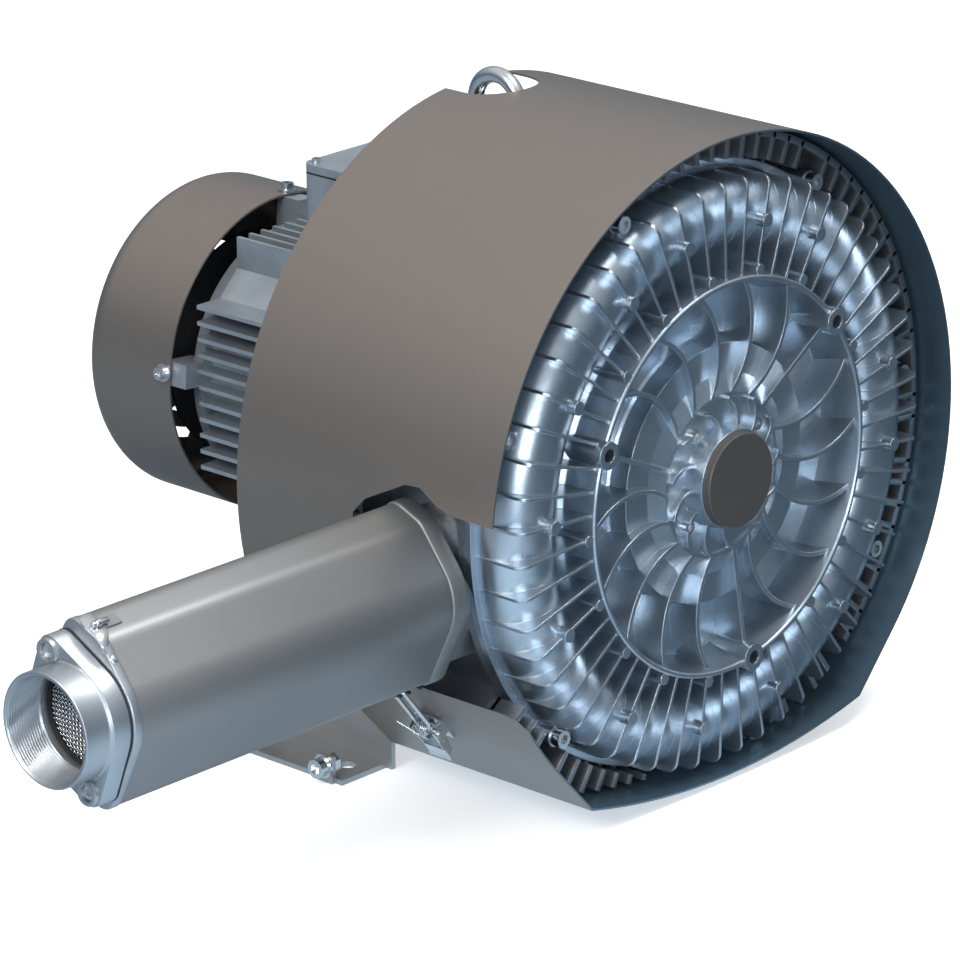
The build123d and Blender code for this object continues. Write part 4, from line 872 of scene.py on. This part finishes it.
@dataclass
class InletSilencer(PortStack):
    """The inlet side: collar, tube, end plate, gasket and threaded flange."""

    face: float = 235.0
    collar_end: float = 250.0
    collar_bore: float = 32.2
    collar_proud: float = 1.2
    collar_corner: float = 1.5
    tube_end: float = 550.0
    tube_bore: float = 35.3
    tube_corner: float = 0.2
    tube_tuck: float = 0.1
    end_plate: float = 8.0
    end_plate_bore: float = 35.2
    end_plate_proud: float = 0.6
    end_plate_corner: float = 1.3

    def dress(self, dresser: Dresser) -> None:
        """Builds and finishes the inlet side."""
        self.dress_end(dresser, self.tube_end)
        plate_start = self.tube_end - self.end_plate
        plate = self.sleeve(
            "silencer_end_plate", BODY_HULL, self.end_plate_proud, self.end_plate_bore, plate_start,
            self.tube_end, self.end_plate_corner,
        )
        dresser.dress(plate, "port_casting", "blower")
        tube = self.sleeve(
            "silencer_body", BODY_HULL, 0.0, self.tube_bore, self.collar_end, plate_start + self.tube_tuck,
            self.tube_corner,
        )
        dresser.dress(tube, "silencer_metal", "blower", ("silencer_tube",))
        collar = self.sleeve(
            "silencer_end_collar", BODY_HULL, self.collar_proud, self.collar_bore, self.face,
            self.collar_end, self.collar_corner,
        )
        dresser.dress(collar, "silencer_metal", "blower", ("silencer_collar",))


@dataclass
class OutletPort(PortStack):
    """The outlet side: threaded flange on its gasket."""

    face: float = 235.0

    def dress(self, dresser: Dresser) -> None:
        """Builds and finishes the outlet side."""
        self.dress_end(dresser, self.face)


@dataclass
class InletScreen:
    """Woven wire screen between the silencer and its end flange, with the black ring in front of it."""

    x: float = -550.85
    radius: float = 34.8
    wire: float = 0.42
    pitch: float = 2.3
    rows: int = 14
    stations: int = 61
    ring_inner: float = 32.4
    ring_outer: float = 36.0
    ring_depth: float = 1.6
    ring_corner: float = 0.5
    ring_ahead: float = 1.7

    def wires(self) -> bpy.types.Object:
        """Wires: each a six-sided tube along a chord, waving over and under the wires it crosses.

        Its height is the wire's radius times the cosine of pi times the distance over the pitch, turned the
        other way on every second wire, and both families lie at 45 degrees.

        Returns:
            The piece.
        """
        rows = np.arange(-self.rows, self.rows + 1)
        offset = rows * self.pitch
        half = np.sqrt(self.radius**2 - offset**2)
        section = np.radians(np.arange(0, 360, 60))
        along = half[:, None] * np.linspace(-1, 1, self.stations)[None, :]
        wave = self.wire * np.cos(np.pi * along / self.pitch + np.pi * rows[:, None])
        grids = []
        for sign in (1, -1):
            lift = sign * wave[:, :, None] + self.wire * np.sin(section)
            across = offset[:, None, None] + self.wire * np.cos(section)
            run = along[:, :, None] + np.zeros_like(lift)
            u = (run + sign * across) / np.sqrt(2)
            v = (across - sign * run) / np.sqrt(2)
            grids.append(np.stack((self.x + lift, INLET_AXIS_Y + u, PORT_AXIS_Z + v), axis=-1))
        return make_surface("inlet_mesh", np.concatenate(grids), 60.0)

    def ring(self) -> bpy.types.Object:
        """Black ring: a rounded box's ring in (radius, x), carried round the port's axis.

        Returns:
            The piece.
        """
        section = rounded_box_ring(self.ring_outer - self.ring_inner, self.ring_depth, self.ring_corner)
        turn = np.linspace(0, 2 * np.pi, 73)[:, None]
        radius = section[None, :, 0] + (self.ring_inner + self.ring_outer) / 2
        x = self.x - self.ring_ahead + section[None, :, 1] + 0 * turn
        y = INLET_AXIS_Y + radius * np.cos(turn)
        z = PORT_AXIS_Z + radius * np.sin(turn)
        return make_surface("inlet_mesh_ring", np.stack((x, y, z), axis=-1)[None])

    def dress(self, dresser: Dresser) -> None:
        """Builds and finishes the screen."""
        dresser.dress(self.wires(), "bright_steel", "blower", ("inlet_screen",))
        dresser.dress(self.ring(), "black_rubber", "blower")


@dataclass
class ClampStrap:
    """Galvanised clamp on the silencer's top: a leaf bent over the end plate, a strip, a pin and a screw.

    The strip and the pin lie on the tube's sloping facet, whose middle and slope are given.
    """

    facet_y: float = 81.5
    facet_z: float = 22.5
    slope_cosine: float = 0.922
    slope_sine: float = 0.387
    leaf_from: float = 83.0
    leaf_to: float = 112.0
    leaf_rings: int = 24
    leaf_left: float = -551.2
    leaf_right: float = -537.0
    left_corner: float = 5.0
    left_share: float = 0.3
    right_run: float = 12.5
    right_share: float = 0.35
    right_power: float = 1.6
    leaf_lift: float = 0.5
    leaf_sheet: float = 1.5
    strip_x: float = -530.0
    strip_across: float = -3.0
    strip_length: float = 15.5
    strip_width: float = 10.0
    strip_corner: float = 1.5
    strip_taper: float = 0.96
    pin_across: float = -4.5
    pin_lift: float = 4.0
    screw_x: float = -546.8
    screw_turn: float = 118.0
    tube_radius: float = 50.0

    def wrapped(self, x: np.ndarray, turn: np.ndarray, lift: np.ndarray) -> np.ndarray:
        """Takes points round the tube to places about the shaft.

        Args:
            x: Their places along the tube.
            turn: Their directions from the port's axis in radians.
            lift: Their heights above the tube's skin.

        Returns:
            The places.
        """
        x, turn, lift = np.broadcast_arrays(x, turn, lift)
        reach = BODY_HULL.reach(turn.ravel()).reshape(turn.shape) + lift
        return np.stack((x, INLET_AXIS_Y + reach * np.cos(turn), PORT_AXIS_Z + reach * np.sin(turn)), axis=-1)

    def place(self, x: np.ndarray, across: np.ndarray, lift: np.ndarray) -> np.ndarray:
        """Takes points on the tube's sloping facet to places about the shaft.

        Args:
            x: Their places along the tube.
            across: Their places up the slope.
            lift: Their heights above it.

        Returns:
            The places.
        """
        y = self.facet_y + self.slope_cosine * across - self.slope_sine * lift
        z = self.facet_z + self.slope_sine * across + self.slope_cosine * lift
        return np.stack(np.broadcast_arrays(x, y, z), axis=-1)

    def leaf(self) -> bpy.types.Object:
        """Leaf: a rounded strip's ring in (x, lift) carried round the tube's skin and narrowed at its ends.

        The left edge's corner is a quarter circle, and the right edge runs in along a power curve to the tip.

        Returns:
            The piece.
        """
        turn = np.radians(np.linspace(self.leaf_from, self.leaf_to, self.leaf_rings))
        share = np.linspace(0, 1, self.leaf_rings)
        round_share = np.clip(1 - share / self.left_share, 0, 1)
        left = self.leaf_left + self.left_corner * (1 - np.sqrt(1 - round_share**2))
        run_share = np.clip((share - self.right_share) / (1 - self.right_share), 0, 1)
        right = self.leaf_right - self.right_run * run_share**self.right_power
        section = np.array(((0, 0), (0, 1), (0.06, 1.25), (0.94, 1.25), (1, 1), (1, 0)))
        x = left[:, None] + (right - left)[:, None] * section[None, :, 0]
        lift = self.leaf_lift + self.leaf_sheet * section[None, :, 1]
        return make_surface("clamp_leaf", self.wrapped(x, turn[:, None], lift)[None])

    def strip(self) -> bpy.types.Object:
        """Strip: a rounded box's ring in (x, across), raised in three steps, the last a little smaller.

        Returns:
            The piece.
        """
        ring = rounded_box_ring(self.strip_length, self.strip_width, self.strip_corner)
        rings = np.stack((ring, ring, ring * self.strip_taper))
        lift = np.array((-0.1, 1.0, 1.4))[:, None]
        places = self.place(rings[:, :, 0] + self.strip_x, rings[:, :, 1] + self.strip_across, lift)
        return make_surface("clamp_strip", places[None])

    def pin(self, around: np.ndarray) -> bpy.types.Object:
        """Pin: circles whose radius steps up and down again along the tube.

        Args:
            around: Angles of a circle's points.

        Returns:
            The piece.
        """
        girth = np.array((1.6, 2.0, 2.0, 2.9, 2.9, 2.0, 2.0, 1.6))[:, None]
        run = np.array((-548.0, -547.5, -544.5, -544.5, -541.5, -541.5, -534.0, -533.5))[:, None]
        across = self.pin_across + girth * np.cos(around)
        places = self.place(run, across, self.pin_lift + girth * np.sin(around))
        return make_surface("clamp_pin", places[None])

    def plate_screw(self, around: np.ndarray) -> bpy.types.Object:
        """Screw's head: circles that shrink as they rise from the tube's skin, bent with it.

        Args:
            around: Angles of a circle's points.

        Returns:
            The piece.
        """
        reach = np.array((2.8, 2.8, 2.1, 0.9))[:, None]
        turn = math.radians(self.screw_turn) + reach * np.sin(around) / self.tube_radius
        lift = np.array((0.3, 1.4, 2.2, 2.5))[:, None]
        places = self.wrapped(reach * np.cos(around) + self.screw_x, turn, lift)
        return make_surface("clamp_plate_screw", places[None])

    def dress(self, dresser: Dresser) -> None:
        """Builds and finishes the clamp."""
        around = np.radians(np.arange(0, 360, 20))[None, :]
        dresser.dress(self.leaf(), "bright_steel", "blower", ("tube_clamp",))
        dresser.dress(self.strip(), "silencer_metal", "blower")
        dresser.dress(self.pin(around), "bright_steel", "blower", ("clamp_screw",))
        dresser.dress(self.plate_screw(around), "bright_steel", "blower")


@dataclass
class DrawLatch:
    """The draw latch: its lever cut to the length seen, and the torsion spring in it with its loose end.

    Places are in the latch's own frame on the jacket: u up round the sheet, v to the rear and w outwards.
    """

    angle: float = 219.0
    seat: float = 250.0
    middle_y: float = 108.0
    pivot_u: float = 3.0
    pivot_w: float = 8.0
    lever_end_u: float = -25.0
    coil_radius: float = 5.7
    coil_start_v: float = -3.3
    coil_pitch: float = 1.75
    coil_degrees: float = 1170.0
    coil_stations: int = 118
    wire: float = 0.8
    wire_sides: int = 8
    loose_end: Triple = (-9.0, 14.0, 10.0)
    loose_stations: int = 8
    wire_up: Triple = (-0.3, 0.9, 0.31)

    def place(self, u: np.ndarray, v: np.ndarray, w: np.ndarray) -> np.ndarray:
        """Takes points in the latch's frame to places about the shaft.

        Args:
            u: Their places up round the jacket.
            v: Their places to the rear.
            w: Their heights above the sheet.

        Returns:
            The places.
        """
        turn = math.radians(self.angle)
        radius = self.seat + w
        x = radius * math.cos(turn) + u * math.sin(turn)
        z = radius * math.sin(turn) - u * math.cos(turn)
        return np.stack(np.broadcast_arrays(x, self.middle_y + v, z), axis=-1)

    def lever(self, node: bpy.types.Object) -> bpy.types.Object:
        """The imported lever, cut off square at its lifted tip and closed.

        Args:
            node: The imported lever.

        Returns:
            The piece.
        """
        mesh = node.data.copy()
        mesh.name = "latch_lever_short"
        cut = Vector(row_frame(self.place(self.lever_end_u, 0.0, self.pivot_w)))
        turn = math.radians(self.angle)
        away = Vector((-math.sin(turn), 0.0, math.cos(turn)))
        shape = bmesh.new()
        shape.from_mesh(mesh)
        whole = list(shape.verts) + list(shape.edges) + list(shape.faces)
        halved = bmesh.ops.bisect_plane(shape, geom=whole, plane_co=cut, plane_no=away, clear_outer=True)
        rim = [one for one in halved["geom_cut"] if isinstance(one, bmesh.types.BMEdge)]
        bmesh.ops.remove_doubles(shape, verts=shape.verts, dist=WELD)
        bmesh.ops.holes_fill(shape, edges=[one for one in rim if one.is_valid], sides=0)
        bmesh.ops.recalc_face_normals(shape, faces=shape.faces)
        shape.to_mesh(mesh)
        shape.free()
        mesh.materials.clear()
        return show("latch_lever_short", mesh)

    def spring(self) -> bpy.types.Object:
        """Torsion spring: a helix of 3 1/4 turns about the lever's pivot, then its straight loose end.

        Each ring is a circle across the wire, turned with the wire's direction.

        Returns:
            The piece.
        """
        turns = np.radians(np.linspace(0, self.coil_degrees, self.coil_stations))
        u = self.pivot_u + self.coil_radius * np.cos(turns)
        v = self.coil_start_v + self.coil_pitch * turns / (2 * np.pi)
        coil = self.place(u, v, self.pivot_w + self.coil_radius * np.sin(turns))
        share = np.linspace(0.06, 1, self.loose_stations)[:, None]
        centre = np.concatenate((coil, coil[-1] + share * np.array(self.loose_end)))
        run = np.gradient(centre, axis=0)
        run /= np.linalg.norm(run, axis=1, keepdims=True)
        side = np.cross(run, np.array(self.wire_up))
        side /= np.linalg.norm(side, axis=1, keepdims=True)
        other = np.cross(run, side)
        around = np.radians(np.arange(self.wire_sides) * 360 / self.wire_sides)[None, :, None]
        across = np.cos(around) * side[:, None] + np.sin(around) * other[:, None]
        rings = centre[:, None] + self.wire * across
        return make_surface("latch_spring", rings[None], 60.0)

    def dress(self, dresser: Dresser, node: bpy.types.Object) -> None:
        """Builds and finishes the latch's pieces."""
        dresser.dress(self.lever(node), "bright_steel", "lever", ("latch_lever",))
        dresser.dress(self.spring(), "bright_steel", "blower")


@dataclass(frozen=True)
class Softbox:
    """One rectangular lamp: its place and its two sides in metres, and its power in watts."""

    name: str
    place: Triple
    size: tuple[float, float]
    power: float
    colour: Triple


@dataclass
class Studio:
    """Camera, lights and floor."""

    azimuth: float = -0.81806868
    elevation: float = 0.33528479
    roll: float = -0.00892221
    place: Triple = (-2.80232, -2.64651, 1.51190)
    focal_px: float = 5500.0
    picture_px: float = 960.0
    sensor: float = 36.0
    target: Triple = (0.0, -0.1, 0.22)
    softboxes: tuple[Softbox, ...] = (
        Softbox("window", (-2.6, -0.6, 2.2), (1.6, 1.6), 70.0, (1.0, 0.98, 0.95)),
        Softbox("overhead", (0.4, -0.9, 2.8), (1.4, 0.8), 52.0, (0.93, 0.97, 1.0)),
        Softbox("front", (-2.0, -2.5, 0.75), (1.1, 0.9), 34.0, (0.84, 0.93, 1.0)),
    )
    horizon: Triple = (0.10, 0.19, 0.28)
    middle_sky: Triple = (0.40, 0.47, 0.54)
    high_sky: Triple = (0.95, 0.96, 0.98)
    sky_heights: Triple = (0.02, 0.30, 0.75)
    sky_strength: float = 0.75
    seen_sky: Triple = (1.4, 1.4, 1.4)
    floor_side: float = 12.0
    floor_seen: Triple = (0.92, 0.92, 0.92)
    floor_near: Triple = (0.20, 0.25, 0.30)
    floor_far: Triple = (0.045, 0.065, 0.085)
    floor_direction: Triple = (0.75, -0.66, 0.0)
    floor_limits: tuple[float, float] = (-0.05, 0.30)
    floor_rough: float = 0.8
    floor_emission: float = 0.45
    glow_low: Triple = (0.01, 0.03, 0.05)
    glow_high: Triple = (1.00, 1.30, 1.55)
    glow_pools: tuple[tuple[Triple, float, float], ...] = (
        ((-0.55, -0.65, 0.0), 0.25, 0.70),
        ((-0.08, -0.16, 0.0), 0.10, 0.32),
    )

    def camera(self) -> None:
        """Sets the camera at the photograph's viewpoint."""
        a, e, r = self.azimuth, self.elevation, self.roll
        back = Vector((math.sin(a) * math.cos(e), -math.cos(a) * math.cos(e), math.sin(e)))
        right = Vector((math.cos(a), math.sin(a), 0.0))
        up = back.cross(right)
        rolled_right = right * math.cos(r) + up * math.sin(r)
        rolled_up = up * math.cos(r) - right * math.sin(r)
        data = bpy.data.cameras.new("camera")
        data.sensor_width = self.sensor
        data.lens = self.focal_px / self.picture_px * self.sensor
        data.clip_start, data.clip_end = 0.1, 30.0
        camera = bpy.data.objects.new("camera", data)
        basis = Matrix((rolled_right, rolled_up, back)).transposed().to_4x4()
        basis.translation = Vector(self.place)
        camera.matrix_world = basis
        bpy.context.scene.collection.objects.link(camera)
        bpy.context.scene.camera = camera

    def light(self, box: Softbox) -> None:
        """Hangs one softbox, facing the machine.

        Args:
            box: The softbox.
        """
        data = bpy.data.lights.new(box.name, "AREA")
        data.shape = "RECTANGLE"
        data.size, data.size_y = box.size
        data.energy = box.power
        data.color = box.colour
        lamp = bpy.data.objects.new(box.name, data)
        lamp.location = box.place
        facing = Vector(box.place) - Vector(self.target)
        lamp.rotation_euler = facing.to_track_quat("Z", "Y").to_euler()
        bpy.context.scene.collection.objects.link(lamp)

    def surroundings(self) -> None:
        """Sets the surroundings.

        The machine reflects them bright above and blue-grey and darker towards the horizon, and the camera
        sees plain white.
        """
        world = bpy.data.worlds.new("studio")
        world.use_nodes = True
        graph = Graph(world.node_tree)
        coords, split = graph.add("ShaderNodeTexCoord"), graph.add("ShaderNodeSeparateXYZ")
        ramp, path = graph.add("ShaderNodeValToRGB"), graph.add("ShaderNodeLightPath")
        low, middle, high = self.sky_heights
        stops = ramp.color_ramp.elements
        stops[0].position, stops[1].position = low, high
        stops[0].color, stops[1].color = (*self.horizon, 1.0), (*self.high_sky, 1.0)
        stops.new(middle).color = (*self.middle_sky, 1.0)
        seen, background = graph.mix(second=self.seen_sky), graph.nodes["Background"]
        background.inputs["Strength"].default_value = self.sky_strength
        graph.link(
            (coords.outputs["Generated"], split.inputs["Vector"]),
            (split.outputs["Z"], ramp.inputs["Fac"]),
            (path.outputs["Is Camera Ray"], seen.inputs["Factor"]),
            (ramp.outputs["Color"], seen.inputs["A"]),
            (seen.outputs["Result"], background.inputs["Color"]),
        )
        bpy.context.scene.world = world

    def floor_material(self) -> bpy.types.Material:
        """Makes the floor's material.

        The camera sees it pale. The machine reflects it dull, darker along floor_direction, with two pools of
        light that fade smoothly from their near to their far distance.

        Returns:
            The material.
        """
        made = bpy.data.materials.new("floor")
        made.use_nodes = True
        graph = Graph(made.node_tree)
        shader = graph.nodes["Principled BSDF"].inputs
        shader["Roughness"].default_value = self.floor_rough
        shader["Emission Strength"].default_value = self.floor_emission
        camera_ray = graph.add("ShaderNodeLightPath").outputs["Is Camera Ray"]
        coords = graph.add("ShaderNodeTexCoord").outputs["Object"]
        bright = graph.math("MAXIMUM")
        for slot, (centre, near, far) in enumerate(self.glow_pools):
            pool = graph.span(near, far)
            pool.interpolation_type = "SMOOTHSTEP"
            pool.inputs["To Min"].default_value = 1.0
            pool.inputs["To Max"].default_value = 0.0
            away = graph.vector(coords, "DISTANCE", centre)
            graph.link((away, pool.inputs["Value"]), (pool.outputs["Result"], bright.inputs[slot]))
        shade = graph.masked(graph.vector(coords, "DOT_PRODUCT", self.floor_direction), self.floor_limits)
        dull, glow = graph.mix(self.floor_near, self.floor_far), graph.mix(self.glow_low, self.glow_high)
        base, tint = graph.mix(second=self.floor_seen), graph.mix(second=WHITE)
        graph.link(
            (shade, dull.inputs["Factor"]),
            (dull.outputs["Result"], base.inputs["A"]),
            (camera_ray, base.inputs["Factor"]),
            (base.outputs["Result"], shader["Base Color"]),
            (bright.outputs["Value"], glow.inputs["Factor"]),
            (glow.outputs["Result"], tint.inputs["A"]),
            (camera_ray, tint.inputs["Factor"]),
            (tint.outputs["Result"], shader["Emission Color"]),
        )
        return made

    def floor(self) -> None:
        """Lays a plain pale floor, which the machine's lower sides reflect darker than the camera sees it."""
        side = self.floor_side
        mesh = bpy.data.meshes.new("floor")
        corners = [(-side, -side, 0.0), (side, -side, 0.0), (side, side, 0.0), (-side, side, 0.0)]
        mesh.from_pydata(corners, [], [(0, 1, 2, 3)])
        mesh.materials.append(self.floor_material())
        show("floor", mesh)

    def build(self) -> None:
        """Sets the camera, the lights, the surroundings and the floor."""
        self.camera()
        for box in self.softboxes:
            self.light(box)
        self.surroundings()
        self.floor()
        bpy.context.scene.view_settings.view_transform = "Standard"


def main() -> None:
    """Builds the whole scene."""
    logging.basicConfig(level=logging.INFO, format="%(message)s")
    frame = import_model()
    dresser = Dresser(FinishLibrary())
    for sub in frame["record"]["subparts"]:
        node = frame["nodes"][sub["node"]]
        node.data.materials.clear()
        node.data.materials.append(dresser.library.material(sub["material_slot"]))
    FinLadder().dress(dresser)
    InletSilencer("inlet", -1, INLET_AXIS_Y).dress(dresser)
    OutletPort("outlet", 1, OUTLET_AXIS_Y).dress(dresser)
    InletScreen().dress(dresser)
    ClampStrap().dress(dresser)
    DrawLatch().dress(dresser, frame["nodes"]["latch_lever"])
    Studio().build()


if __name__ == "__main__":
    main()
